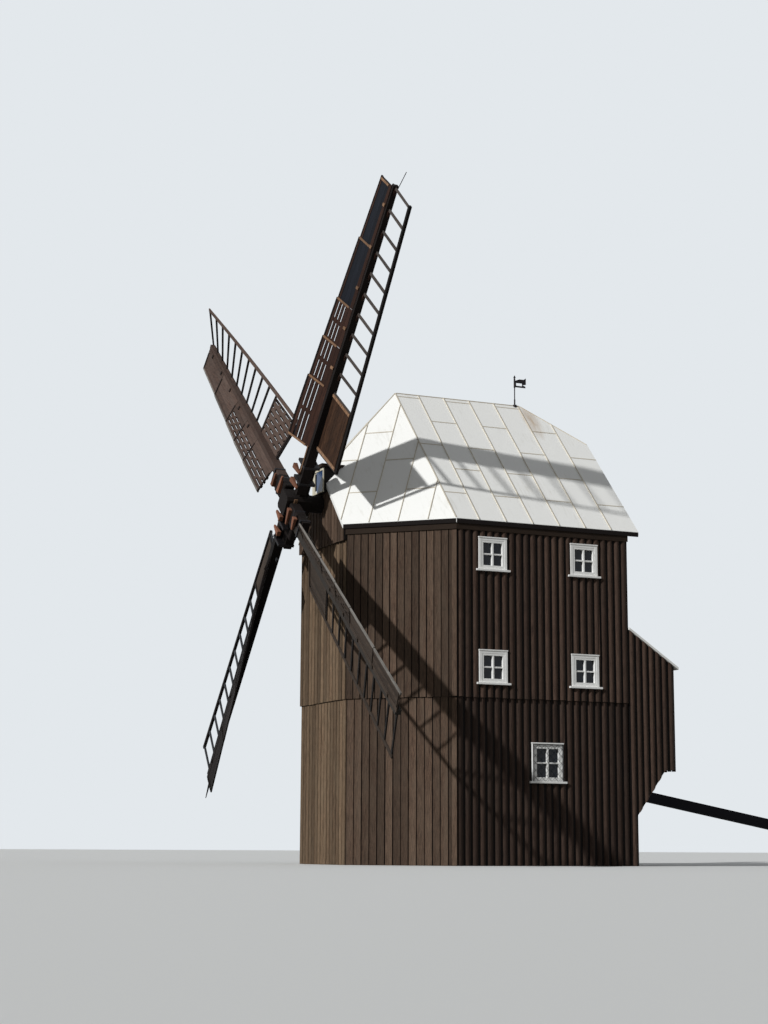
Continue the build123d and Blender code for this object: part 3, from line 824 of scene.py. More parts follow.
@dataclass
class Palette:
    """All finishes of the mill, made once."""

    # The boards of the side, rear and bay walls are darkened as painted shade, and the lower side tier is
    # darker still. The front and splayed walls keep the lit colour
    wall: Material = made(SawnTimber("shade_darkened_boards", "#1B120E", "#554238", "#4E4239", **SHADED))
    wall_low: Material = made(
        SawnTimber("lower_shade_darkened_boards", "#160E0B", "#47372E", "#403630", **SHADED)
    )
    wall_front: Material = made(
        SawnTimber("bleached_boards", "#30241A", "#7D6752", "#766855", **SUNLIT)
    )
    wall_splay: Material = made(SawnTimber("worn_boards", "#261C16", "#645042", "#66594C", **SUNLIT))
    # Near-black backing behind the boards: painted shade in the gaps between them
    wall_dark: Material = made(
        SawnTimber("painted_shade_backing", "#0A0706", "#15100D", "#14100E", Grain.OBJECT, UPRIGHT)
    )
    cornice: Material = made(
        SawnTimber("tarred_cornice", "#17110D", "#443529", "#3E332B", Grain.OBJECT, ALONG_Y)
    )
    roof: Material = made(PaintedSheet("painted_roof_sheet"))
    seam: Material = made(PaintedSheet("folded_seams", "#CCC4B4", "#B5A994", "#94764F", 0.6))
    white: Material = made(BrushedPaint("white_oil_paint", "#FBFBF8", "#DDDAD0"))
    cream: Material = made(BrushedPaint("cream_oil_paint", "#DAD3BC", "#A79C82", 0.55))
    glass: Material = made(OldGlass("window_glass"))
    # The dormer pane's blues are a painted sky reflection
    sky_glass: Material = made(OldGlass("dormer_pane_painted_sky", "#2E4A72", "#4C668C"))
    iron: Material = made(ForgedIron("forged_iron"))
    sail_boards: Material = made(
        SawnTimber("sail_boards", "#1E1310", "#4A3026", "#3E312C", greying=0.3)
    )
    sail_grey: Material = made(
        SawnTimber("grey_sail_boards", "#362A24", "#614E45", "#5A4F49", greying=0.6)
    )
    sail_dull: Material = made(
        SawnTimber("dull_sail_boards", "#211A15", "#483D34", "#413831", greying=0.6)
    )
    sail_door: Material = made(
        SawnTimber("sail_door_slats", "#22150E", "#4A3324", "#3F3026", greying=0.3)
    )
    sail_slate: Material = made(
        SawnTimber("slate_sail_panels", "#101217", "#1E2129", "#1B1E24", greying=0.4)
    )
    sail_black: Material = made(
        SawnTimber("tarred_sail_edge", "#080606", "#1D1512", "#1A1615", greying=0.3)
    )
    sail_shade: Material = made(
        SawnTimber("shaded_sail_laths", "#15100E", "#302622", "#2C2624", greying=0.3)
    )
    # Light grey edge boards of the second and fourth sails: a painted highlight along their lit edges
    sail_rim: Material = made(
        SawnTimber("sail_edge_painted_highlight", "#55504B", "#8C8882", "#84817C", greying=0.5)
    )
    batten: Material = made(SawnTimber("tan_battens", "#5E4230", "#A98567", "#8C7663", greying=0.3))
    wedge: Material = made(SawnTimber("oak_wedges", "#57352A", "#9A6A52", "#7E6253", greying=0.25))
    frame: Material = made(
        SawnTimber("inner_timber", "#5A4534", "#8C7058", "#6F6052", Grain.OBJECT)
    )
    pole: Material = made(
        SawnTimber("tail_pole_timber", "#0D0C10", "#23222A", "#2A2B33", Grain.OBJECT, DOWN_POLE)
    )


# Studio


@dataclass(frozen=True)
class Studio:
    """Floor, light and camera around the mill."""

    camera_place: tuple[float, float, float] = (45.869, -22.2371, 0.3727)
    yaw: float = 65.9409
    pitch: float = 10.9456
    roll: float = 0.2940
    focal_px: float = 1971.61
    centre_y_px: float = 468.0
    image_height_px: float = 1024.0
    sensor_mm: float = 36.0
    sun_from: tuple[float, float, float] = (0.285, -0.829, 0.481)
    sun_strength: float = 2.8
    sun_spread: float = 1.6
    sky_light: float = 0.235
    floor_reach: float = 400.0
    # Just under the ground sills, so that no face lies in another
    floor_z: float = -0.004

    def camera(self) -> None:
        """Place the camera where the photograph was taken."""
        yaw, pitch, roll = (math.radians(v) for v in (self.yaw, self.pitch, self.roll))
        view = Vector(
            (-math.sin(yaw) * math.cos(pitch), math.cos(yaw) * math.cos(pitch), math.sin(pitch))
        )
        right = Vector((math.cos(yaw), math.sin(yaw), 0))
        up = right.cross(view)
        right, up = (
            math.cos(roll) * right + math.sin(roll) * up,
            -math.sin(roll) * right + math.cos(roll) * up,
        )
        data = bpy.data.cameras.new("camera")
        data.sensor_fit = "VERTICAL"
        data.sensor_height = self.sensor_mm
        data.lens = self.focal_px / self.image_height_px * self.sensor_mm
        data.shift_y = (self.centre_y_px - self.image_height_px / 2) / self.image_height_px
        data.clip_end = 1000
        camera = bpy.data.objects.new("camera", data)
        camera.matrix_world = frame_matrix(Vector(self.camera_place), right, up, -view)
        bpy.context.scene.collection.objects.link(camera)
        bpy.context.scene.camera = camera

    def light(self) -> None:
        """One soft key light from the front and an even pale surround."""
        data = bpy.data.lights.new("key", "SUN")
        data.energy = self.sun_strength
        data.angle = math.radians(self.sun_spread)
        lamp = bpy.data.objects.new("key", data)
        lamp.rotation_euler = Vector(self.sun_from).to_track_quat("Z", "Y").to_euler()
        bpy.context.scene.collection.objects.link(lamp)
        world = bpy.data.worlds.new("surround")
        bpy.context.scene.world = world
        world.use_nodes = True
        tree = world.node_tree
        tree.nodes.clear()
        # Camera, mirror and glass rays see a pale backdrop, and all others the weaker sky light
        ray = add_node(tree, "ShaderNodeLightPath")
        shown = ray.outputs["Is Camera Ray"]
        for kind in ("Is Glossy Ray", "Is Transmission Ray"):
            either = {0: shown, 1: ray.outputs[kind]}
            shown = add_node(tree, "ShaderNodeMath", {"operation": "MAXIMUM"}, either).outputs["Value"]
        fill = {"Color": linear("#F4F6FA"), "Strength": self.sky_light}
        pale = {"Color": linear("#E3E8EC"), "Strength": 1.0}
        links = {0: shown}
        for number, settings in ((1, fill), (2, pale)):
            links[number] = add_node(tree, "ShaderNodeBackground", settings).outputs["Background"]
        mixed = add_node(tree, "ShaderNodeMixShader", links=links)
        add_node(tree, "ShaderNodeOutputWorld", links={"Surface": mixed.outputs["Shader"]})

    def floor(self) -> None:
        """Wide pale floor that keeps the shadow."""
        bm = bmesh.new()
        place = Matrix.Translation((0, 0, self.floor_z))
        bmesh.ops.create_grid(bm, x_segments=1, y_segments=1, size=self.floor_reach, matrix=place)
        mesh = bpy.data.meshes.new("floor")
        bm.to_mesh(mesh)
        bm.free()
        mesh.materials.append(StagePaint("floor_paint", "#DFE0DE", "#6A6A64").make())
        floor = bpy.data.objects.new("floor", mesh)
        bpy.context.scene.collection.objects.link(floor)
        floor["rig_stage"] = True

    def build(self) -> None:
        """Set up the whole stage."""
        self.camera()
        self.light()
        self.floor()
        bpy.context.scene.view_settings.view_transform = "Standard"
        log.info("studio ready")


# Body


@dataclass(frozen=True)
class BodyPlan:
    """Main sizes of the body, as the frame has them."""

    half_width: float = 3.4275
    half_front: float = 1.4685
    front_y: float = -3.365
    shoulder_y: float = -1.36
    rear_y: float = 3.401
    overlap: float = 0.041
    drip_z: float = 3.965
    eave_z: float = 8.272
    ridge_z: float = 12.111
    ridge_front_y: float = -1.447
    ridge_rear_y: float = 2.217
    overhang: float = 0.126
    front_eave_y: float = -3.53
    rear_eave_y: float = 3.705
    hip_half: float = 0.12
    rear_hip_z: float = 10.978
    roof_thickness: float = 0.06
    cornice_z: float = 8.01
    skirt_z: float = 7.89
    skirt_out: float = 0.08
    bay_rear_y: float = 4.7
    bay_roof_z: float = 5.85
    bay_slope: float = math.radians(33.6)
    bay_roof_thickness: float = 0.05
    bay_bottom_z: float = 2.345
    bay_soffit_y: float = 4.4
    bay_foot_y: float = 3.59
    bay_foot_z: float = 1.235
    window_y: Span = (-0.407, 2.138)
    window_z: Span = (4.696, 7.446)
    window_size: Span = (0.769, 0.805)
    low_window: tuple[float, float] = (1.082, 2.441)
    low_window_size: Span = (0.860, 0.936)
    door: tuple[float, float] = (1.082, 1.975)
    door_size: Span = (0.95, 1.95)
    dormer_half: float = 0.38
    dormer_low: float = 9.25
    dormer_high: float = 9.905

    def splay(self) -> tuple[Vector, float]:
        """Direction and length of the right-hand splayed wall, from the front."""
        run = Vector((self.half_width - self.half_front, self.shoulder_y - self.front_y, 0))
        return run.normalized(), run.length

    def ring(self, out: float) -> tuple[Vector, Vector]:
        """Front and shoulder corner of the right side, moved outwards.

        Args:
            out: How far the walls move outwards.

        Returns:
            The two corners, at the ground.
        """
        along, _ = self.splay()
        start = Vector((self.half_front, self.front_y, 0)) + along.cross(UP) * out
        to_front = (self.front_y - out - start.y) / along.y
        to_side = (self.half_width + out - start.x) / along.x
        return start + along * to_front, start + along * to_side

    def splay_facet(self, out: float) -> tuple[Facet, float]:
        """Right-hand splayed wall face, moved outwards, and its length."""
        front, side = self.ring(out)
        return Facet(front, (side - front).normalized(), UP), (side - front).length

    def bay_run(self) -> Vector:
        """Way from the foot of the bay's sloping underside to its top."""
        return Vector((0, self.bay_soffit_y - self.bay_foot_y, self.bay_bottom_z - self.bay_foot_z))

    def roof_points(self) -> dict[str, Vector]:
        """Corners of the roof on the right side and on the ridge.

        Returns:
            The corners by name.
        """
        along, _ = self.splay()
        corner = self.ring(self.overhang)[1]
        shoulder = Vector((corner.x, corner.y, self.eave_z))
        front = shoulder + along * ((self.front_eave_y - shoulder.y) / along.y)
        ridge_front = Vector((0, self.ridge_front_y, self.ridge_z))
        normal = (front - shoulder).cross(ridge_front - shoulder).normalized()
        if normal.z < 0:
            normal.negate()
        rise = (front.x - self.hip_half) * normal.x / normal.z
        rear_x = shoulder.x * (self.ridge_z - self.rear_hip_z) / (self.ridge_z - self.eave_z)
        return {
            "shoulder": shoulder,
            "front": front,
            "rear": Vector((shoulder.x, self.rear_eave_y, self.eave_z)),
            "front_hip": Vector((self.hip_half, self.front_eave_y, self.eave_z + rise)),
            "rear_hip": Vector((rear_x, self.rear_eave_y, self.rear_hip_z)),
            "ridge_front": ridge_front,
            "ridge_rear": Vector((0, self.ridge_rear_y, self.ridge_z)),
        }


@dataclass
class Cladding:
    """Upright boards: flat and close on the front, rounded with wide gaps on the other sides."""

    plan: BodyPlan
    palette: Palette
    pitch: float = 0.1955
    gap: float = 0.055
    splay_gap: float = 0.03
    thickness: float = 0.026
    cup: float = 0.007
    crown: float = -0.042
    lean: float = -0.018
    # The sawn ends and edges are off by a few millimetres
    edge_error: float = 0.004
    foot_error: float = 0.006
    narrowest: float = 0.03
    chance: random.Random = field(default_factory=lambda: random.Random(11))
    count: int = 0
    laid: list[tuple[Span, Span, float]] = field(default_factory=list)

    def board(self, bm: Mesh, facet: Facet, a: Span, b: Span) -> None:
        """Add one upright board, still flat.

        Args:
            bm: Mesh that takes it.
            facet: Wall face that it is nailed to.
            a: Its edges along the wall.
            b: Its foot and head.
        """
        self.count += 1
        self.laid.append((a, b, self.chance.uniform(-0.003, 0.004)))
        add_block(bm, facet.matrix(), a, b, (0.0, self.thickness), self.count)

    def to_front(self, facet: Facet) -> bool:
        """Whether a wall face looks to the front, straight or splayed."""
        return facet.out.y < -0.4

    def shape(self, bm: Mesh, facet: Facet) -> None:
        """Divide the flat boards across their width, and cup the front ones and crown the others.

        Args:
            bm: Mesh with the boards of one wall.
            facet: Wall face that they are nailed to.
        """
        bend, lean = (self.crown, self.lean)
        if self.to_front(facet):
            bend, lean = (self.cup, self.lean / 2)
        level = [e for e in bm.edges if abs((e.verts[0].co - e.verts[1].co).dot(facet.along)) > 1e-4]
        bmesh.ops.subdivide_edges(bm, edges=level, cuts=5)
        slack = 1e-5
        for vert in bm.verts:
            local = vert.co - facet.origin
            if local.dot(facet.out) < self.thickness * 0.5:
                continue
            place, height = local.dot(facet.along), local.dot(facet.up)
            for a, b, lift in self.laid:
                if a[0] - slack <= place <= a[1] + slack and b[0] - slack <= height <= b[1] + slack:
                    across = (2 * place - a[0] - a[1]) / (a[1] - a[0])
                    rise = bend * (across * across - 0.5) + lean * across * 0.5 + lift
                    vert.co += facet.out * rise
                    break
        self.laid.clear()

    def course(
        self, bm: Mesh, facet: Facet, a: Span, b: Span, openings: Sequence[tuple[Span, Span]] = ()
    ) -> None:
        """Cover one stretch of wall with boards, leaving its openings free.

        Args:
            bm: Mesh that takes the boards.
            facet: Wall face.
            a: Ends of the stretch along the wall.
            b: Foot and head of the boards.
            openings: Width and height spans that stay free.
        """
        number = max(1, round((a[1] - a[0]) / self.pitch))
        step = (a[1] - a[0]) / number
        splayed = self.to_front(facet) and abs(facet.out.x) > 0.4
        gap = self.splay_gap if splayed else self.gap
        error = self.edge_error
        for index in range(number):
            left = a[0] + index * step + gap / 2 + self.chance.uniform(-error, error)
            right = a[0] + (index + 1) * step - gap / 2 + self.chance.uniform(-error, error)
            low = b[0]
            if low > 0.1:
                low += self.chance.uniform(-self.foot_error, self.foot_error)
            blocked = [o for o in openings if o[0][0] < right and o[0][1] > left]
            for opening in sorted(blocked, key=lambda o: o[1][0]):
                self.board(bm, facet, (left, right), (low, opening[1][0]))
                if opening[0][0] - left > self.narrowest:
                    self.board(bm, facet, (left, opening[0][0]), opening[1])
                if right - opening[0][1] > self.narrowest:
                    self.board(bm, facet, (opening[0][1], right), opening[1])
                low = opening[1][1]
            self.board(bm, facet, (left, right), (low, b[1]))
        self.shape(bm, facet)

    def wall(
        self, name: str, facet: Facet, a: Span, b: Span, seed: int, timber: Material,
        openings: Sequence[tuple[Span, Span]] = (), cut: Callable[[Mesh], None] | None = None,
    ) -> None:
        """Make the boards of one wall as a piece.

        Args:
            name: Name of the piece.
            facet: Wall face.
            a: Ends of the boards' stretch along the wall.
            b: Foot and head of the boards.
            seed: Start of the random grain.
            timber: Finish of the boards.
            openings: Width and height spans that stay free.
            cut: What cuts the boards to their outline.
        """
        bm = bmesh.new()
        self.course(bm, facet, a, b, openings)
        if cut:
            cut(bm)
        lay_grain(bm, facet.up, seed)
        piece_from(bm, name, timber, "mill")

    def tiers(self, top: float) -> tuple[tuple[str, float, Span], ...]:
        """Name, distance from the lower wall and height span of the two tiers of boards.

        Args:
            top: Head of the upper tier.

        Returns:
            The lower and the upper tier.
        """
        plan = self.plan
        lower = ("lower", 0.0, (0.0, plan.drip_z - 0.004))
        return lower, ("upper", plan.overlap, (plan.drip_z, top))

    def side(self, right: bool) -> None:
        """Both tiers of one side wall and the side of the tail bay.

        Args:
            right: Whether it is the right side.
        """
        plan, palette = self.plan, self.palette
        name = "right" if right else "left"
        length = plan.rear_y - plan.shoulder_y
        low = (plan.low_window, plan.low_window_size) if right else (plan.door, plan.door_size)
        holes = {
            "lower": [low],
            "upper": [((y, z), plan.window_size) for y in plan.window_y for z in plan.window_z],
        }
        for tier, out, spans in self.tiers(plan.cornice_z + 0.02):
            origin = Vector((plan.half_width + out, plan.shoulder_y, 0))
            facet = Facet(origin, Vector((0, 1, 0)), UP)
            openings = [
                ((y - plan.shoulder_y - w / 2, y - plan.shoulder_y + w / 2), (z - h / 2, z + h / 2))
                for (y, z), (w, h) in holes[tier]
            ]
            if not right:
                facet = facet.mirrored(length)
                openings = [((length - o[0][1], length - o[0][0]), o[1]) for o in openings]
            timber = palette.wall_low if tier == "lower" else palette.wall
            seed = 3 if right else 4
            self.wall(f"{name}_side_boards_{tier}", facet, (0.0, length), spans, seed, timber, openings)
        self.bay_side(right)

    def bay_side(self, right: bool) -> None:
        """Boards on one side of the tail bay, cut to its roof and its folded foot.

        Args:
            right: Whether it is the right side.
        """
        plan = self.plan
        length = plan.bay_rear_y - plan.rear_y
        origin = Vector((plan.half_width + plan.overlap, plan.rear_y, 0))
        facet = Facet(origin, Vector((0, 1, 0)), UP)
        if not right:
            facet = facet.mirrored(length)
        under = plan.bay_roof_thickness / math.cos(plan.bay_slope)

        def cut(bm: Mesh) -> None:
            """Cut the boards under the roof and over the underside.

            Args:
                bm: Mesh with the boards.
            """
            roof = Vector((0, math.sin(plan.bay_slope), math.cos(plan.bay_slope)))
            trim(bm, Vector((0, plan.rear_y, plan.bay_roof_z - under)), roof)
            self.fold(bm)

        name, seed = ("right_bay_boards", 5) if right else ("left_bay_boards", 6)
        spans = (0.0, plan.bay_roof_z + 0.1)
        self.wall(name, facet, (0.0, length), spans, seed, self.palette.wall, cut=cut)

    def fold(self, bm: Mesh) -> None:
        """Cut bay boards along the sloping underside and the level one behind it.

        Args:
            bm: Mesh with the boards.
        """
        plan = self.plan
        foot = Vector((0, plan.bay_foot_y, plan.bay_foot_z))
        run = plan.bay_run().normalized()
        slope = Vector((0, run.z, -run.y))
        for point, normal in (
            (foot, slope),
            (Vector((0, plan.bay_foot_y, 0)), Vector((0, 1, 0))),
            (Vector((0, 0, plan.bay_bottom_z)), Vector((0, 0, -1))),
        ):
            geometry = bm.verts[:] + bm.edges[:] + bm.faces[:]
            bmesh.ops.bisect_plane(bm, geom=geometry, dist=1e-6, plane_co=point, plane_no=normal)
        slack, doomed = 1e-5, []
        for face in bm.faces:
            centre = face.calc_center_median()
            behind = centre.y > plan.bay_foot_y + slack and centre.z < plan.bay_bottom_z - slack
            if behind and (centre - foot).dot(slope) > slack:
                doomed.append(face)
        bmesh.ops.delete(bm, geom=doomed, context="FACES")
        close(bm, bm.edges)

    def shoulder(self, right: bool) -> None:
        """Both tiers of one splayed wall.

        Args:
            right: Whether it is the right side.
        """
        name, seed = ("right", 7) if right else ("left", 8)
        for tier, out, spans in self.tiers(self.plan.cornice_z + 0.02):
            facet, length = self.plan.splay_facet(out)
            if not right:
                facet = facet.mirrored(length)
            timber = self.palette.wall_splay
            self.wall(f"{name}_splay_boards_{tier}", facet, (0.0, length), spans, seed, timber)

    def corners(self) -> None:
        """Bare corner boards where the splayed walls meet the side walls."""
        plan, blocks = self.plan, []
        for tier, out, spans in (
            (1, 0.0, (0.0, plan.drip_z - 0.03)),
            (3, plan.overlap, (plan.drip_z + 0.01, plan.cornice_z - 0.02)),
        ):
            facet, length = plan.splay_facet(out)
            for number, face in enumerate((facet, facet.mirrored(length))):
                ends = (length - 0.1, length + 0.02) if number == 0 else (-0.02, 0.1)
                blocks.append((face.matrix(), (ends, spans, (0.03, 0.054)), tier + number))
        timber = self.palette.wall_splay
        Blockwork("corner_boards", timber, "dark_boards", soft=0.004, grain=UP, seed=16).make(blocks)

    def eaves(self) -> None:
        """Dark strips just under the roof's edge: a painted shadow below the eaves."""
        points, blocks = self.plan.roof_points(), []
        for start, end in (
            (points["front"], points["shoulder"]),
            (points["shoulder"], points["rear"]),
        ):
            length = (end - start).length
            facet = Facet(start, (end - start) / length, UP)
            for number, face in enumerate((facet, facet.mirrored(length))):
                limits = ((0.01, length - 0.01), (-0.12, -0.012), (-0.03, 0.004))
                blocks.append((face.matrix(), limits, number))
        timber = self.palette.sail_black
        Blockwork("eave_painted_shadow_strips", timber, "dark_boards", grain=UP, seed=18).make(blocks)

    def under_roof(self, bm: Mesh, point: Vector, normal: Vector) -> None:
        """Cut boards under a roof slope and under its mirror image."""
        for turn in (lambda v: v, flip):
            trim(bm, turn(point) - turn(normal) * self.plan.roof_thickness, turn(normal))

    def front(self) -> None:
        """Both tiers of the front wall and the proud boards of the gable."""
        plan, palette = self.plan, self.palette
        points = plan.roof_points()
        for tier, out, spans in self.tiers(plan.skirt_z + 0.05):
            corner = plan.ring(out)[0]
            facet = Facet(Vector((-corner.x, corner.y, 0)), Vector((1, 0, 0)), UP)
            ends = (0.0, 2 * corner.x)
            self.wall(f"front_boards_{tier}", facet, ends, spans, 9, palette.wall_front)
        corner = plan.ring(plan.overlap)[0]
        y = plan.front_y - plan.overlap - plan.skirt_out
        facet = Facet(Vector((-corner.x, y, 0)), Vector((1, 0, 0)), UP)
        # The dormer's opening runs out through the roof, and so do the boards beside it
        top, over_roof = 12.0, 13.0
        hole = (
            (corner.x - plan.dormer_half, corner.x + plan.dormer_half), (plan.dormer_low, over_roof)
        )

        def cut(bm: Mesh) -> None:
            """Cut the boards under the splayed roof slopes.

            Args:
                bm: Mesh with the boards.
            """
            limit = (top + over_roof) / 2
            doomed = [f for f in bm.faces if f.calc_center_median().z > limit]
            bmesh.ops.delete(bm, geom=doomed, context="FACES")
            normal = plane_normal(points["shoulder"], points["front"], points["ridge_front"])
            self.under_roof(bm, points["front"], normal)

        spans = (plan.skirt_z - 0.015, top)
        ends = (0.0, 2 * corner.x)
        self.wall("gable_face_boards", facet, ends, spans, 10, palette.wall_splay, [hole], cut)

    def rear(self) -> None:
        """Boards of the rear gable, of the bay's back and of its folded underside."""
        plan, timber = self.plan, self.palette.wall
        points = plan.roof_points()
        half = plan.half_width + plan.overlap
        left = Vector((-1, 0, 0))
        ends = (0.0, 2 * half)

        def cut(bm: Mesh) -> None:
            """Cut the boards under the side slopes and the rear hip.

            Args:
                bm: Mesh with the boards.
            """
            side = plane_normal(points["shoulder"], points["rear"], points["ridge_front"])
            self.under_roof(bm, points["rear"], side)
            hip = plane_normal(points["rear_hip"], flip(points["rear_hip"]), points["ridge_rear"])
            trim(bm, points["rear_hip"] - hip * plan.roof_thickness, hip)

        facet = Facet(Vector((half, plan.rear_y, 0)), left, UP)
        self.wall(
            "rear_gable_face_boards", facet, ends, (plan.bay_roof_z + 0.02, 12.0), 12, timber, cut=cut
        )
        facet = Facet(Vector((half, plan.bay_rear_y, 0)), left, UP)
        drop = (plan.bay_rear_y - plan.rear_y) * math.tan(plan.bay_slope)
        under = plan.bay_roof_thickness / math.cos(plan.bay_slope)
        spans = (plan.bay_bottom_z - 0.03, plan.bay_roof_z - drop - under - 0.015)
        self.wall("bay_back_boards", facet, ends, spans, 13, timber)
        run = plan.bay_run()
        facet = Facet(Vector((half, plan.bay_foot_y, plan.bay_foot_z)), left, run.normalized())
        pole = ((half - 0.13, half + 0.13), (0.35, 0.95))
        self.wall("bay_slope_boards", facet, ends, (0.0, run.length), 14, timber, [pole])
        facet = Facet(Vector((half, plan.bay_foot_y, 0)), left, UP)
        self.wall("bay_foot_boards", facet, ends, (0.0, plan.bay_foot_z), 15, timber)

    def build(self) -> None:
        """Board every wall."""
        for right in (True, False):
            self.side(right)
            self.shoulder(right)
        self.corners()
        self.eaves()
        self.front()
        self.rear()


@dataclass(frozen=True)
class Slope:
    """Seam layout of one roof slope.

    Stations are the seams' distances along the eave, and laps the slope distances of the laps
    in each bay between seams. The first bay starts at start.
    """

    name: str
    corners: list[Vector]
    facet: Facet
    stations: Sequence[float]
    laps: Sequence[Sequence[float]]
    height: float
    start: float

    def mirrored(self, name: str, length: float, start: float) -> Slope:
        """The same layout on the left slope, read from its other end.

        Args:
            name: Name of the left slope's piece.
            length: Length of the eave.
            start: Where the first bay begins.

        Returns:
            The left slope's layout.
        """
        stations = [length - s for s in reversed(self.stations)]
        corners = [flip(c) for c in self.corners]
        facet = self.facet.mirrored(length)
        return Slope(name, corners, facet, stations, self.laps[::-1], self.height, start)


@dataclass
class RoofSheets:
    """Folded seams, cross laps and cappings on the painted sheet roof."""

    plan: BodyPlan
    palette: Palette
    seam_width: float = 0.018
    seam_height: float = 0.022
    lap_width: float = 0.03
    lap_height: float = 0.007
    sunk: float = -0.01
    last_bay: float = 1.2

    def lay(self, slope: Slope) -> None:
        """Make the seams and laps of one roof slope, cut to its outline, as a piece.

        Args:
            slope: Layout of the seams.
        """
        bm = bmesh.new()
        place, half = slope.facet.matrix(), self.seam_width / 2
        for station in slope.stations:
            ends = (station - half, station + half)
            add_block(bm, place, ends, (0.0, slope.height), (self.sunk, self.seam_height))
        edges = [slope.start, *slope.stations]
        for index, places in enumerate(slope.laps):
            left = edges[index]
            right = edges[index + 1] if index + 1 < len(edges) else left + self.last_bay
            for place_up in places:
                low = place_up - self.lap_width / 2
                spans = (low, low + self.lap_width)
                add_block(bm, place, (left, right), spans, (self.sunk, self.lap_height))
        centre = sum(slope.corners, Vector()) / len(slope.corners)
        for index, corner in enumerate(slope.corners):
            following = slope.corners[(index + 1) % len(slope.corners)]
            outwards = (following - corner).cross(slope.facet.out).normalized()
            if outwards.dot(centre - corner) > 0:
                outwards.negate()
            trim(bm, corner, outwards)
        lay_grain(bm, slope.facet.up, 1)
        piece_from(bm, slope.name, self.palette.seam, "mill")

    def build(self) -> None:
        """Seam both sides, both shoulders, the rear hip and the bay roof, and cap the edges."""
        p = self.plan.roof_points()
        corners = [p["shoulder"], p["rear"], p["rear_hip"], p["ridge_rear"], p["ridge_front"]]
        along = Vector((0, 1, 0))
        up = plane_normal(corners[0], corners[1], corners[-1]).cross(along)
        stations = [0.615 + 0.741 * i for i in range(6)]
        even, odd = (1.03, 3.03, 5.09), (2.05, 4.08)
        laps = [even if i % 2 == 0 else odd for i in range(7)]
        height = (p["ridge_front"] - p["shoulder"]).dot(up)
        facet = Facet(p["shoulder"], along, up)
        side = Slope("seams_right_side", corners, facet, stations, laps, height, 0.0)

        corners = [p["shoulder"], p["front"], p["front_hip"], p["ridge_front"]]
        along = (p["shoulder"] - p["front"]).normalized()
        up = plane_normal(corners[0], corners[1], corners[-1]).cross(along)
        stations = [-0.85, -0.08, 0.69, 1.455, 2.23]
        laps = [(), (2.2,), (1.05, 3.15), (2.13,), (1.06,), ()]
        height = (p["ridge_front"] - p["front"]).dot(up)
        facet = Facet(p["front"], along, up)
        splay = Slope("seams_right_splay", corners, facet, stations, laps, height, -1.6)

        side_length = (p["rear"] - p["shoulder"]).y
        splay_length = (p["shoulder"] - p["front"]).length
        for slope in (
            side,
            splay,
            side.mirrored("seams_left_side", side_length, -0.2),
            splay.mirrored("seams_left_splay", splay_length, -0.2),
        ):
            self.lay(slope)
        self.hip(p)
        self.bay()
        self.cappings(p)

    def hip(self, p: dict[str, Vector]) -> None:
        """Seams of the rear hip.

        Args:
            p: Corners of the roof by name.
        """
        corners = [p["rear_hip"], flip(p["rear_hip"]), p["ridge_rear"]]
        along = Vector((-1, 0, 0))
        facet = Facet(p["rear_hip"], along, plane_normal(*corners).cross(along))
        middle = p["rear_hip"].x
        stations = [middle - 0.37, middle + 0.37]
        rise = (p["ridge_rear"] - p["rear_hip"]).dot(facet.up)
        self.lay(Slope("seams_rear_hip", corners, facet, stations, [(), (0.9,), ()], rise, 0.0))

    def bay(self) -> None:
        """Seams of the tail bay's roof."""
        plan = self.plan
        half = plan.half_width + plan.overlap + plan.overhang / 2
        down = Vector((0, math.cos(plan.bay_slope), -math.sin(plan.bay_slope)))
        length = (plan.bay_rear_y + 0.12 - plan.rear_y) / math.cos(plan.bay_slope)
        foot = Vector((half, plan.rear_y, plan.bay_roof_z)) + down * length
        facet = Facet(foot, Vector((-1, 0, 0)), -down)
        ends = ((0, 0), (2 * half, 0), (2 * half, length), (0, length))
        corners = [facet.point(a, b) for a, b in ends]
        stations = [0.74 * (i + 1) - 0.03 for i in range(9)]
        self.lay(Slope("seams_bay_roof", corners, facet, stations, [() for _ in range(9)], length, 0.0))

    def cappings(self, p: dict[str, Vector]) -> None:
        """Folded caps along the ridge, the hips and the verges.

        Args:
            p: Corners of the roof by name.
        """
        lines = [(p["ridge_front"], p["ridge_rear"])]
        for turn in (lambda v: v, flip):
            lines += [
                (turn(p["shoulder"]), p["ridge_front"]),
                (turn(p["rear_hip"]), p["ridge_rear"]),
                (turn(p["front_hip"]), p["ridge_front"]),
            ]
        blocks = []
        for start, end in lines:
            along = (end - start).normalized()
            sideways = along.cross(UP).normalized()
            place = frame_matrix(start, along, sideways, sideways.cross(along))
            ends = (0.02, (end - start).length - 0.01)
            blocks.append((place, (ends, (-0.016, 0.016), (-0.02, 0.012)), 0))
        grain = Vector((0, 1, 0))
        seam = self.palette.seam
        Blockwork("roof_cappings", seam, "roof_metal", soft=0.004, grain=grain, seed=2).make(blocks)


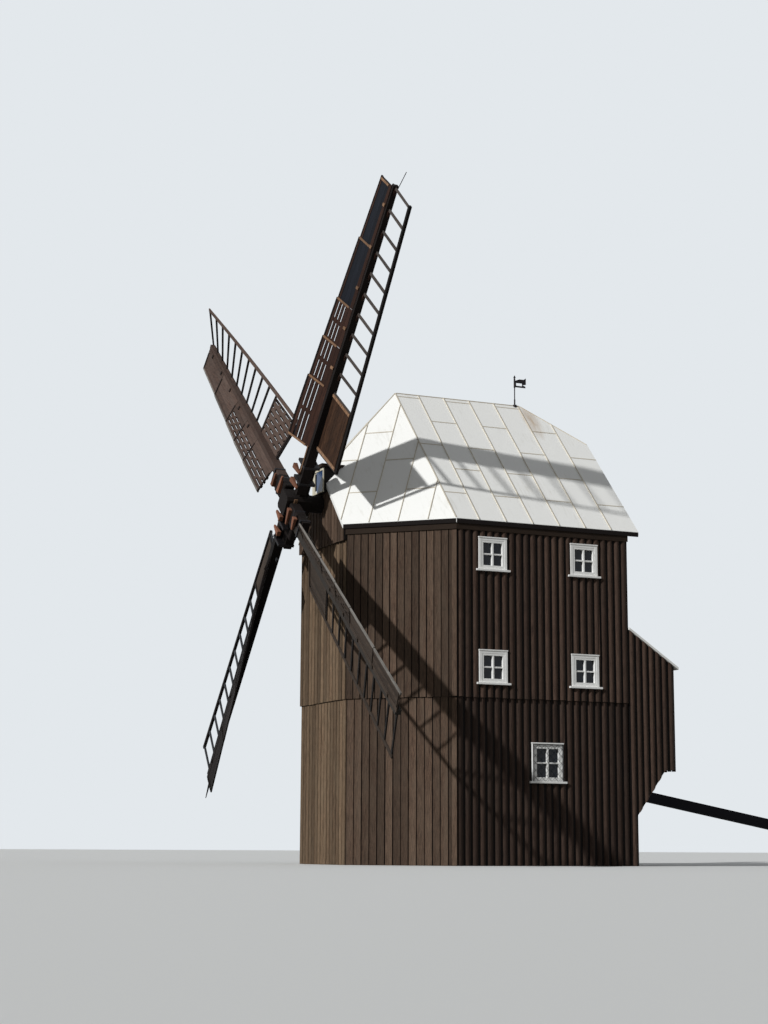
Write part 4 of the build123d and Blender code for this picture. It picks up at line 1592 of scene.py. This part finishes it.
@dataclass
class Windows:
    """Casings, sashes, glazing bars and sills of every window, and the grille of the low one."""

    plan: BodyPlan
    palette: Palette
    casing: float = 0.075
    sash: float = 0.05
    mullion: float = 0.044
    muntin: float = 0.036
    sill_reach: float = 0.075
    wire: float = 0.0035
    mesh: float = 0.125

    def blocks(self, facet: Facet, size: Span) -> list[tuple[Matrix, Block, int]]:
        """Blocks of one window, centred on its facet's origin, for its size over the casing.

        Args:
            facet: Frame at the window's middle, on the wall face.
            size: Width and height over the casing.

        Returns:
            Local frame, limits and board number of each block.
        """
        w, h, c, s = size[0] / 2, size[1] / 2, self.casing, self.sash
        m, t, reach = self.mullion / 2, self.muntin / 2, self.sill_reach
        # Casing, sash, glazing bars, sill and drip board
        limits = (
            ((-w, -w + c), (-h, h), (0.018, 0.05)),
            ((w - c, w), (-h, h), (0.018, 0.05)),
            ((-w + c, w - c), (h - c, h), (0.018, 0.048)),
            ((-w + c, w - c), (-h, -h + c), (0.018, 0.048)),
            ((-w + c, -w + c + s), (-h + c, h - c), (-0.03, 0.044)),
            ((w - c - s, w - c), (-h + c, h - c), (-0.03, 0.044)),
            ((-w + c + s, w - c - s), (h - c - s, h - c), (-0.03, 0.043)),
            ((-w + c + s, w - c - s), (-h + c, -h + c + s), (-0.03, 0.043)),
            ((-m, m), (-h + c + s, h - c - s), (-0.031, 0.04)),
            ((-w + c + s, -m), (-t, t), (-0.031, 0.03)),
            ((m, w - c - s), (-t, t), (-0.031, 0.03)),
            ((-w - reach, w + reach), (-h - 0.02, -h + 0.03), (0.0, 0.095)),
            ((-w - 0.01, w + 0.01), (h - 0.012, h + 0.02), (0.0, 0.062)),
        )
        return [(facet.matrix(), block, 0) for block in limits]

    def grille(self, facet: Facet, size: Span) -> None:
        """Diamond wire grille in a thin frame over the low window.

        Args:
            facet: Frame at the window's middle, on the wall face.
            size: Width and height over the casing.
        """
        bm = bmesh.new()
        reach = (size[0] + size[1]) / 2
        count = int(reach / self.mesh) + 1
        for sign in (1, -1):
            turn = Matrix.Rotation(math.radians(45) * sign, 4, "Z")
            for index in range(-count, count + 1):
                # The two layers of wire lie 66 mm out, one just over the other
                shift = Matrix.Translation((index * self.mesh, 0, 0.066 + 0.004 * sign))
                stand = facet.matrix() @ turn @ shift @ Matrix.Rotation(math.radians(90), 4, "X")
                bmesh.ops.create_cone(
                    bm, cap_ends=True, segments=6, radius1=self.wire, radius2=self.wire,
                    depth=2 * reach, matrix=stand,
                )
        for across, limit in ((facet.along, size[0] / 2 - 0.03), (facet.up, size[1] / 2 - 0.03)):
            for sign in (1, -1):
                trim(bm, facet.origin + across * limit * sign, across * sign)
        w, h, bar = size[0] / 2 - 0.02, size[1] / 2 - 0.02, 0.01
        for a, b in (
            ((-w, -w + bar), (-h, h)),
            ((w - bar, w), (-h, h)),
            ((-w, w), (-h, -h + bar)),
            ((-w, w), (h - bar, h)),
        ):
            add_block(bm, facet.matrix(), a, b, (0.052, 0.074))
        piece_from(bm, "low_window_grille", self.palette.iron, "mill")

    def build(self) -> None:
        """Fit every window."""
        plan = self.plan
        for name, sign in (("right", 1), ("left", -1)):
            along = Vector((0, sign, 0))
            blocks = []
            for y in plan.window_y:
                for z in plan.window_z:
                    centre = Vector((sign * (plan.half_width + plan.overlap), y, z))
                    blocks += self.blocks(Facet(centre, along, UP), plan.window_size)
            if name == "right":
                low = Facet(Vector((plan.half_width, *plan.low_window)), along, UP)
                blocks += self.blocks(low, plan.low_window_size)
                self.grille(low, plan.low_window_size)
            joinery = Blockwork(f"{name}_window_joinery", self.palette.white, "white_paint", soft=0.004)
            joinery.make(blocks)


@dataclass
class PlankDoor:
    """Planks, casing and strap hinges of the fixed door on the left wall."""

    plan: BodyPlan
    palette: Palette
    planks: int = 6
    casing: float = 0.09

    def build(self) -> None:
        """Make the planks, the casing and the hinges."""
        centre = Vector((-self.plan.half_width, *self.plan.door))
        place = Facet(centre, Vector((0, -1, 0)), UP).matrix()
        width, height = self.plan.door_size
        w, h, c, step = width / 2, height / 2, self.casing, width / self.planks
        joint, tall = 0.003, (0.005 - h, h - 0.005)
        planks = [
            ((index * step - w + joint, (index + 1) * step - w - joint), tall, (-0.004, 0.02))
            for index in range(self.planks)
        ]
        casing = [
            ((-w - c, -w), (-h, h), (0.03, 0.058)),
            ((w, w + c), (-h, h), (0.03, 0.058)),
            ((-w - c, w + c), (h, h + 0.1), (0.03, 0.062)),
            ((-w - c, w + c), (-h - 0.07, -h), (0.0, 0.085)),
        ]
        hinges = [
            ((-w + 0.01, w - 0.2), (z - 0.025, z + 0.025), (0.018, 0.026)) for z in (-0.62, 0.62)
        ]
        handle = ((w - 0.11, w - 0.07), (-0.09, 0.09), (0.018, 0.05))
        for name, limits, material, slot in (
            ("door_planks", planks, self.palette.wall, "dark_boards"),
            ("door_casing", casing, self.palette.wall_low, "dark_boards"),
            ("door_hinges", [*hinges, handle], self.palette.iron, "vane_iron"),
        ):
            blocks = [(place, block, count) for count, block in enumerate(limits)]
            Blockwork(name, material, slot, soft=0.003, grain=UP, seed=17).make(blocks)


@dataclass
class Dormer:
    """Small dormer over the shaft: cream sash with a wide post, and one pane whose blue is a painted sky
    reflection.
    """

    plan: BodyPlan
    palette: Palette
    front: float = -3.58
    post: float = 0.15
    rail: float = 0.07
    bead: float = 0.035

    def build(self) -> None:
        """Make the sash and the pane."""
        low, high = self.plan.dormer_low, self.plan.dormer_high
        centre = Vector((0, self.front, (low + high) / 2))
        place = Facet(centre, Vector((1, 0, 0)), UP).matrix()
        w, h = self.plan.dormer_half - 0.02, (high - low) / 2 - 0.01
        post, rail, bead = self.post, self.rail, self.bead
        sash = [
            (place, (a, b, (0.0, 0.03)), 0)
            for a, b in (
                ((-w, -w + post), (-h, h)),
                ((w - bead, w), (-h, h)),
                ((-w + post, w - bead), (h - rail, h)),
                ((-w + post, w - bead), (-h, -h + bead)),
            )
        ]
        Blockwork("dormer_sash", self.palette.cream, "white_paint", soft=0.004).make(sash)
        pane = ((-w + post + 0.1, w - bead), (-h + bead, h - rail), (0.004, 0.012))
        Blockwork("dormer_shutter_pane", self.palette.sky_glass, "glass").make([(place, pane, 0)])


# Sails


@dataclass(frozen=True)
class SailShape:
    """What sets one sail apart, as measured in the photograph."""

    # Twist of the bars at the root and at the tip, in degrees
    weather: Span
    # How far the tip has moved to the leading side and forward
    drift: Span
    # Width of the leading boards at the root and at the tip
    widths: Span
    # Steepest pitch of the leading boards, in degrees
    steepest: float
    # Ends of the five sections of leading boards, from the tip to the root
    stops: tuple[float, ...] = (8.974, 7.208, 5.564, 4.468, 3.372, 1.722)


SAIL_SHAPES = (
    SailShape((7.9, -2.2), (-0.107, 0.021), (0.78, 0.56), 25.9, (8.888, 7.25, 5.6, 4.53, 3.42, 1.7)),
    SailShape((16.3, -18.4), (0.0, -0.114), (0.715, 0.63), 20.7, (8.85, 7.06, 5.37, 4.22, 3.1, 1.42)),
    SailShape((9.4, 6.0), (0.061, 0.075), (0.7, 0.62), 28.0),
    SailShape((14.3, 9.3), (-0.013, 0.172), (0.56, 0.48), 28.0),
)


@dataclass(frozen=True)
class SailPlan:
    """Place and lines of one sail, as the frame has them."""

    number: int
    hub: Vector = field(default_factory=lambda: Vector((0, -4.233, 8.981)))
    trailing: float = -0.317
    stock_reach: float = 1.3
    tip: float = 8.914
    radius: float = 8.852
    root: float = 1.772
    spacing: float = 0.548

    @property
    def shape(self) -> SailShape:
        """What sets this sail apart."""
        return SAIL_SHAPES[self.number - 1]

    @property
    def angle(self) -> float:
        """Clock angle of the arm."""
        index = self.number - 1
        return math.radians(40.7 - 90.0 * index - 2.7 * (index % 2))

    @property
    def out(self) -> Vector:
        """Direction out along the arm."""
        return Vector((math.sin(self.angle), 0, math.cos(self.angle)))

    def place(self) -> Matrix:
        """Frame of the sail: out along the arm, towards its leading side, and forward.

        Returns:
            Matrix from the sail's own distances to the model.
        """
        forward = Vector((0, -1, 0))
        offset = 0.04 if self.number % 2 == 0 else -0.04
        return frame_matrix(self.hub + forward * offset, self.out, forward.cross(self.out), forward)

    def bars(self) -> list[float]:
        """Radii of the bars from the tip to the root."""
        return [self.radius - i * self.spacing for i in range(10)] + [3.372, 1.772]

    def weather(self, radius: float) -> float:
        """Twist of the bars at one radius."""
        root, tip = self.shape.weather
        return math.radians(root + (tip - root) * (radius - self.root) / (self.radius - self.root))

    def drift(self, radius: float) -> Vector:
        """How far the sail has moved to its leading side and forward at one radius."""
        reach = self.stock_reach
        return Vector((0, *self.shape.drift)) * (max(radius - reach, 0) / (self.tip - reach))

    def leading_edge(self, radius: float) -> float:
        """Leading face of the whip at one radius."""
        share = (max(radius, self.stock_reach) - self.stock_reach) / (self.tip - self.stock_reach)
        return -0.14 - 0.062 * share

    def whip_front(self, radius: float) -> float:
        """Front face of the whip at one radius."""
        return 0.2 - 0.125 * (radius - 0.42) / (self.tip - 0.42)

    def leader(self, radius: float) -> tuple[float, float, float, float]:
        """Pivot across and forward, angle and width of the leading boards at one radius.

        Args:
            radius: Distance from the hub along the arm.

        Returns:
            The pivot's two distances, the angle in radians and the width.
        """
        root, tip = self.shape.widths
        share = (radius - 1.722) / (8.982 - 1.722)
        angle = math.radians(min(28.0 - 23.0 * share, self.shape.steepest))
        width = root + (tip - root) * share
        return self.leading_edge(radius), self.whip_front(radius) - 0.01, angle, width

    def on_plane(self, radius: float, pivot: Span, angle: float, across: float, rise: float) -> Vector:
        """Local point on a plane that is pitched about a pivot at one radius.

        Args:
            radius: Distance from the hub along the arm.
            pivot: Place of the pivot across the arm and forward.
            angle: Pitch of the plane in radians.
            across: Distance from the pivot on the plane.
            rise: Distance in front of the plane.

        Returns:
            The point.
        """
        level = pivot[0] + across * math.cos(angle) - rise * math.sin(angle)
        forward = pivot[1] + across * math.sin(angle) + rise * math.cos(angle)
        return self.drift(radius) + Vector((radius, level, forward))

    def on_leader(self, radius: float, across: float, rise: float) -> Vector:
        """Local point on the leading boards."""
        y, z, angle, _ = self.leader(radius)
        return self.on_plane(radius, (y, z), angle, across, rise)

    def on_lattice(self, radius: float, across: float, rise: float) -> Vector:
        """Local point on the plane of the bars."""
        return self.on_plane(radius, (self.trailing, 0.0), self.weather(radius), across, rise)


@dataclass(frozen=True)
class Piercing:
    """Rows of narrow openings between the boards of a sail."""

    columns: int
    rows: int
    bridge: float
    staggered: bool
    gap: float = 0.016


@dataclass(frozen=True)
class SailLook:
    """Finishes of one sail, and where its boards are pierced."""

    boards: Material
    backing: Material
    panels: Material
    edge: Material
    battens: Material
    door: Material
    hemlath: Material
    bars: Material
    piercing: Piercing
    door_piercing: Piercing | None = None
    hemlath_depth: float = 0.036


@dataclass
class Sail:
    """One dressed sail: leading boards, planked door, battens, hemlath, bars and their wedges."""

    plan: SailPlan
    look: SailLook
    chance: random.Random = field(default_factory=lambda: random.Random(5))
    count: int = 0
    edge_width: float = 0.05
    opening: float = 0.066
    bar_width: float = 0.062
    bar_depth: float = 0.034
    # Longest stretch of a plank that stays straight
    stretch: float = 0.8

    def plank(self, bm: Mesh, radii: Span, across: Span, rise: Span) -> None:
        """Add one plank, still flat, cut into lengths that can follow the twist.

        Args:
            bm: Mesh that takes it.
            radii: Its ends along the arm.
            across: Its edges across the arm.
            rise: Its back and front.
        """
        self.count += 1
        verts = add_block(bm, Matrix.Identity(4), radii, across, rise, self.count)
        edges = {e for v in verts for e in v.link_edges}
        long_edges = {e for e in edges if abs(e.verts[0].co.x - e.verts[1].co.x) > 1e-5}
        cuts = max(1, int((radii[1] - radii[0]) / self.stretch))
        bmesh.ops.subdivide_edges(bm, edges=list(long_edges), cuts=cuts)

    def planks_between(self, bm: Mesh, radii: Span, limits: Span, number: int, rise: Span) -> None:
        """Fill one section with planks side by side.

        Args:
            bm: Flat mesh that takes them.
            radii: Ends of the section along the arm.
            limits: Edges of the section across the arm.
            number: How many planks lie side by side.
            rise: Their back and front.
        """
        step = (limits[1] - limits[0]) / number
        for index in range(number):
            low = limits[0] + index * step + 0.002
            high = limits[0] + (index + 1) * step - 0.002
            ends = (radii[0] + self.chance.uniform(0, 0.008), radii[1] - self.chance.uniform(0, 0.008))
            lift = self.chance.uniform(-0.0015, 0.0015)
            self.plank(bm, ends, (low, high), (rise[0] + lift, rise[1] + lift))

    def pierced(self, front: Mesh, back: Mesh, radii: Span, limits: Span, style: Piercing) -> None:
        """Fill one section with boards that leave rows of narrow openings, half closed behind.

        Args:
            front: Flat mesh of the boards.
            back: Flat mesh of the laths behind the openings.
            radii: Ends of the section along the arm.
            limits: Edges of the section across the arm.
            style: How the openings lie.
        """
        step = (limits[1] - limits[0]) / style.columns
        row = (radii[1] - radii[0]) / style.rows
        for column in range(style.columns):
            low = limits[0] + column * step
            self.plank(front, radii, (low + self.opening, low + step), (0.0, 0.024))
            self.plank(back, radii, (low - 0.012, low + self.opening - style.gap), (-0.024, -0.002))
            shift = row / 2 if style.staggered and column % 2 else 0.0
            for index in range(style.rows + 1):
                middle = radii[0] + index * row + shift
                low_end = max(radii[0], middle - style.bridge / 2)
                high_end = min(radii[1], middle + style.bridge / 2)
                if high_end - low_end > 0.02:
                    self.plank(front, (low_end, high_end), (low, low + self.opening), (0.0, 0.022))

    def piece(
        self, bm: Mesh, part: str, timber: Material, surface: Callable[..., Vector], seed: int,
        crosswise: bool = False, soft: float = 0.0,
    ) -> bpy.types.Object:
        """Bend flat planks onto the sail, lay their grain and make the piece.

        Args:
            bm: Flat mesh.
            part: Last part of the piece's name.
            timber: Its finish.
            surface: Function that carries flat places onto the sail.
            seed: Start of the random grain, to which the sail's number is added.
            crosswise: Whether the grain runs across the arm.
            soft: Width of the bevel on its edges.

        Returns:
            The new object.
        """
        place = self.plan.place()
        for vert in bm.verts:
            vert.co = place @ surface(*vert.co)
        if soft:
            soften(bm, soft)
        grain = place.to_3x3() @ Vector((0, 1, 0)) if crosswise else self.plan.out
        lay_grain(bm, grain, seed + self.plan.number)
        return piece_from(bm, f"sail_{self.plan.number}_{part}", timber, "rotor")

    def leading_boards(self) -> bpy.types.Object:
        """Leading boards in five sections, the lower three pierced, with a root and an edge board.

        Returns:
            The piece that stands for the CAD boards.
        """
        front, back, panels, edge = (bmesh.new() for _ in range(4))
        look, stops = self.look, self.plan.shape.stops
        for index in range(5):
            radii = (stops[index + 1] + 0.004, stops[index] - 0.004)
            width = self.plan.leader(sum(radii) / 2)[3]
            rim = width - self.edge_width
            self.plank(edge, radii, (rim, width), (-0.012, 0.026))
            if index < 2:
                self.planks_between(front, radii, (-0.03, 0.09), 1, (0.0, 0.026))
                self.planks_between(panels, radii, (0.09, rim - 0.055), 3, (0.0, 0.018))
                self.planks_between(front, radii, (rim - 0.055, rim), 1, (0.0, 0.026))
                continue
            self.planks_between(front, radii, (-0.03, width * 0.33), 2, (0.0, 0.026))
            self.pierced(front, back, radii, (width * 0.33, rim - 0.012), look.piercing)
        pieces = [
            self.piece(bm, f"leading_{part}", timber, self.plan.on_leader, 20)
            for bm, part, timber in (
                (front, "boards", look.boards),
                (back, "backing", look.backing),
                (panels, "panels", look.panels),
                (edge, "edge", look.edge),
            )
        ]
        return pieces[0]

    def door_boards(self) -> None:
        """Planked door between the whip and the hemlath."""
        front, look, lattice = bmesh.new(), self.look, self.plan.on_lattice
        radii, limits = (1.80, 3.344), (-1.013, -0.012)
        if look.door_piercing:
            back = bmesh.new()
            self.pierced(front, back, radii, limits, look.door_piercing)
            self.piece(back, "door_backing", look.backing, lattice, 34)
        else:
            self.planks_between(front, radii, limits, 8, (-0.012, 0.012))
        self.piece(front, "door_boards", look.door, lattice, 30)

    def battens(self) -> None:
        """Battens across the fronts of the leading boards and of the door."""
        bm = bmesh.new()
        tip, *joints, root = self.plan.shape.stops
        for radius in (tip - 0.06, *joints, root + 0.03):
            width = self.plan.leader(radius)[3]
            self.plank(bm, (radius - 0.025, radius + 0.025), (0.1, width - 0.03), (0.024, 0.04))
        for bar in self.plan.bars()[1:10:2]:
            radius = bar + 0.06
            self.plank(bm, (radius - 0.035, radius + 0.035), (-0.02, 0.075), (0.024, 0.05))
        timber = self.look.battens
        self.piece(bm, "leading_battens", timber, self.plan.on_leader, 40, crosswise=True)
        bm = bmesh.new()
        for radius in (3.33, 1.82):
            self.plank(bm, (radius - 0.035, radius + 0.035), (-1.05, -0.01), (0.014, 0.036))
        self.piece(bm, "door_battens", timber, self.plan.on_lattice, 50, crosswise=True)

    def hemlath(self) -> None:
        """Long lath on the ends of the bars, with a wedge beside the whip at each bar."""
        bm = bmesh.new()
        half, lattice = self.look.hemlath_depth / 2, self.plan.on_lattice
        self.plank(bm, (1.742, 8.905), (-1.175, -1.08), (-half, half))
        self.piece(bm, "hemlath", self.look.hemlath, lattice, 70)
        bm = bmesh.new()
        flat = Matrix.Identity(4)
        for radius in self.plan.bars()[:10]:
            self.count += 1
            ends = (radius - 0.19, radius - 0.02)
            verts = add_block(bm, flat, ends, (-0.036, 0.01), (-0.022, 0.03), self.count)
            thin = [v for v in verts if v.co.x < radius - 0.1]
            centre = Matrix.Translation((0, -0.01, 0))
            bmesh.ops.scale(bm, vec=(1, 0.25, 1), space=centre, verts=thin)
        self.piece(bm, "bar_wedges", self.look.boards, lattice, 80)

    def crossbars(self) -> bpy.types.Object:
        """Bars through the whip that carry the hemlath, with stubs on the leading side.

        Returns:
            The piece that stands for the CAD lattice.
        """
        bm = bmesh.new()
        half, depth = self.bar_width / 2, self.bar_depth / 2
        for radius in self.plan.bars():
            stub = self.plan.leading_edge(radius) - self.plan.trailing + 0.13
            self.plank(bm, (radius - half, radius + half), (-1.1, stub), (-depth, depth))
        lattice = self.plan.on_lattice
        return self.piece(bm, "crossbars", self.look.bars, lattice, 90, crosswise=True, soft=0.003)

    def build(self) -> None:
        """Dress the sail, and hide the CAD boards and lattice that its new boards and bars replace."""
        boards = self.leading_boards()
        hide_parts(f"sail_{self.plan.number}_boards")
        bars = self.crossbars()
        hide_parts(f"sail_{self.plan.number}_lattice")
        self.door_boards()
        self.battens()
        self.hemlath()


@dataclass
class ShaftHead:
    """Oak pins, cleats and iron straps where the stocks cross in the shaft head."""

    palette: Palette
    # Sail, radius, middle and length across the arm, and height of the back
    pin_places: tuple[tuple[int, float, float, float, float], ...] = (
        (1, 0.99, -0.02, 0.42, 0.19),
        (1, 0.62, -0.1, 0.46, 0.19),
        (2, 0.5, -0.24, 0.46, 0.2),
        (2, 0.98, -0.12, 0.36, 0.2),
        (3, 0.4, -0.02, 0.4, 0.3),
        (3, 0.9, -0.12, 0.4, 0.2),
        (4, 0.5, -0.14, 0.44, 0.2),
        (4, 0.94, -0.1, 0.34, 0.2),
    )
    pin_half: float = 0.07
    pin_depth: float = 0.11
    pin_taper: float = 0.45

    def pins(self) -> None:
        """Drive tapered oak pins across the arms, through whip and stock."""
        bm = bmesh.new()
        for count, (number, radius, y, reach, z) in enumerate(self.pin_places):
            place = SailPlan(number).place()
            ends, across = (radius - self.pin_half, radius + self.pin_half), (y - reach / 2, y + reach / 2)
            verts = add_block(bm, place, ends, across, (z, z + self.pin_depth), count)
            tip = [v for v in verts if (place.inverted() @ v.co).y < y]
            centre = sum((v.co for v in tip), Vector()) / len(tip)
            taper = (self.pin_taper,) * 3
            bmesh.ops.scale(bm, vec=taper, space=Matrix.Translation(-centre), verts=tip)
        soften(bm, 0.008)
        lay_grain(bm, UP, 60)
        piece_from(bm, "shaft_head_pins", self.palette.wedge, "rotor")

    def timbers(self) -> None:
        """Back the rear stock, clamp the front one, and put bare oak strips on the head."""
        first = SailPlan(1)
        place = first.place()
        backing = ((-1.18, 1.18), (-0.13, 0.13), (-0.22, -0.168))
        upper = ((0.6, 1.0), (0.139, 0.33), (-0.16, 0.04))
        lower = ((-0.95, -0.55), (-0.3, -0.139), (-0.16, 0.04))
        clamp = ((0.3, 0.92), (-0.325, 0.148), (-0.066, 0.217))
        blocks = [(place, limits, count) for count, limits in enumerate((backing, upper, lower))]
        blocks += [(SailPlan(number).place(), clamp, number) for number in (2, 4)]
        black, tan, common = self.palette.sail_black, self.palette.batten, ("shaft_wood", "rotor")
        Blockwork("stock_cleats", black, *common, soft=0.03, grain=first.out, seed=61).make(blocks)
        strips = [
            (place, ((-0.24, 0.26), (-0.3, -0.268), (0.1, 0.19)), 0),
            (place, ((0.95, 1.76), (-0.2, -0.142), (0.198, 0.215)), 0),
        ]
        Blockwork("bare_oak_strips", tan, *common, soft=0.004, grain=first.out, seed=62).make(strips)

    def straps(self) -> None:
        """Put forged straps round each whip and its stock."""
        blocks = []
        for number in (1, 2, 3, 4):
            depth = (-0.224, 0.212) if number % 2 else (-0.072, 0.223)
            for radius in (0.72, 1.2):
                limits = ((radius - 0.035, radius + 0.035), (-0.331, 0.154), depth)
                blocks.append((SailPlan(number).place(), limits, 0))
        iron = self.palette.iron
        Blockwork("stock_straps", iron, "vane_iron", "rotor", soft=0.006, grain=UP, seed=63).make(blocks)

    def build(self) -> None:
        """Fit the pins, the cleats and the straps."""
        self.pins()
        self.timbers()
        self.straps()


# Dark, light and greyed tone of each sail's whip, and of its bars
ARM_TONES = (
    ("#0A0707", "#211713", "#1D1614"),
    ("#3A2D27", "#665249", "#5F544D"),
    ("#0A0807", "#1C1614", "#1A1716"),
    ("#24201C", "#4C4641", "#46423D"),
)
BAR_TONES = (
    ("#2A2523", "#5C544F", "#56514D"),
    ("#0C0A0A", "#241E1C", "#211D1C"),
    ("#1E1D1E", "#44474A", "#404346"),
    ("#12100F", "#2E2825", "#2A2725"),
)


def sail_looks(palette: Palette) -> list[SailLook]:
    """Look of the four sails: the first is brown, the second and fourth grey, and the third black; the
    light edge boards of the second and fourth are a painted highlight.

    Args:
        palette: Finishes of the mill.

    Returns:
        The looks of sails 1 to 4.
    """
    even = Piercing(3, 2, 0.1, False)
    loose = Piercing(3, 3, 0.12, True, 0.011)
    pierced_door = Piercing(6, 4, 0.14, True, 0.009)
    bars = [
        SawnTimber(f"sail_{number}_bar_timber", *tones).make()
        for number, tones in enumerate(BAR_TONES, start=1)
    ]
    tarred, grey, dull = palette.sail_boards, palette.sail_grey, palette.sail_dull
    black, slate, shade = palette.sail_black, palette.sail_slate, palette.sail_shade
    rim, tan, slats = palette.sail_rim, palette.batten, palette.sail_door
    deep = 0.066
    return [
        SailLook(tarred, slate, slate, black, tan, slats, black, bars[0], even, hemlath_depth=deep),
        SailLook(grey, shade, grey, rim, shade, grey, grey, bars[1], loose, pierced_door),
        SailLook(black, black, black, black, black, dull, black, bars[2], even, hemlath_depth=deep),
        SailLook(dull, shade, dull, rim, dull, dull, dull, bars[3], loose),
    ]


# Carried-over nodes


def dress_nodes(palette: Palette) -> None:
    """Give every CAD node that stays in sight its finish.

    Args:
        palette: Finishes of the mill.
    """
    chosen: dict[str, Material] = {}
    for material, names in (
        # The CAD walls and the dormer take the near-black backing, which is painted shade behind the
        # boards
        (
            palette.wall_dark,
            "front_wall_lower front_wall_upper shoulder_walls_lower shoulder_walls_upper "
            "right_wall_lower right_wall_upper left_wall_lower left_wall_upper bay_sides bay_back "
            "bay_underside rear_gable gable_boards dormer",
        ),
        (palette.cornice, "cornice dormer_hood plank_door"),
        (palette.frame, "floors ground_sills shaft_beams"),
        (palette.iron, "vane_pole vane_banner"),
        (palette.white, "window_frames"),
        (palette.glass, "window_glass"),
        (palette.pole, "tail_pole"),
        (
            palette.roof,
            "roof_side_right roof_side_left roof_shoulder_right roof_shoulder_left "
            "roof_front_hip roof_rear_hip bay_roof",
        ),
    ):
        chosen |= dict.fromkeys(names.split(), material)
    for number, tones in enumerate(ARM_TONES, start=1):
        turn = (0.0, SailPlan(number).angle - math.radians(90), 0.0)
        arm = SawnTimber(f"sail_{number}_arm_timber", *tones, Grain.OBJECT, turn)
        chosen[f"sail_{number}_whip"] = arm.make()
    head = SawnTimber("shaft_timber", "#0C0909", "#241B17", "#231E1B", Grain.OBJECT, ALONG_Y)
    chosen |= dict.fromkeys(("windshaft", "stocks"), head.make())
    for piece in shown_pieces():
        name = piece.get("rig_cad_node")
        if name in chosen:
            while len(piece.material_slots) < 1:
                piece.data.materials.append(None)
            for place in piece.material_slots:
                place.material = chosen[name]


def main() -> None:
    """Build the mill's dress piece by piece."""
    logging.basicConfig(level=logging.INFO, format="%(name)s %(message)s")
    palette = Palette()
    plan = BodyPlan()
    Studio().build()
    Cladding(plan, palette).build()
    RoofSheets(plan, palette).build()
    Windows(plan, palette).build()
    PlankDoor(plan, palette).build()
    Dormer(plan, palette).build()
    for number, look in enumerate(sail_looks(palette), start=1):
        Sail(SailPlan(number), look).build()
    ShaftHead(palette).build()
    dress_nodes(palette)


if __name__ == "__main__":
    main()
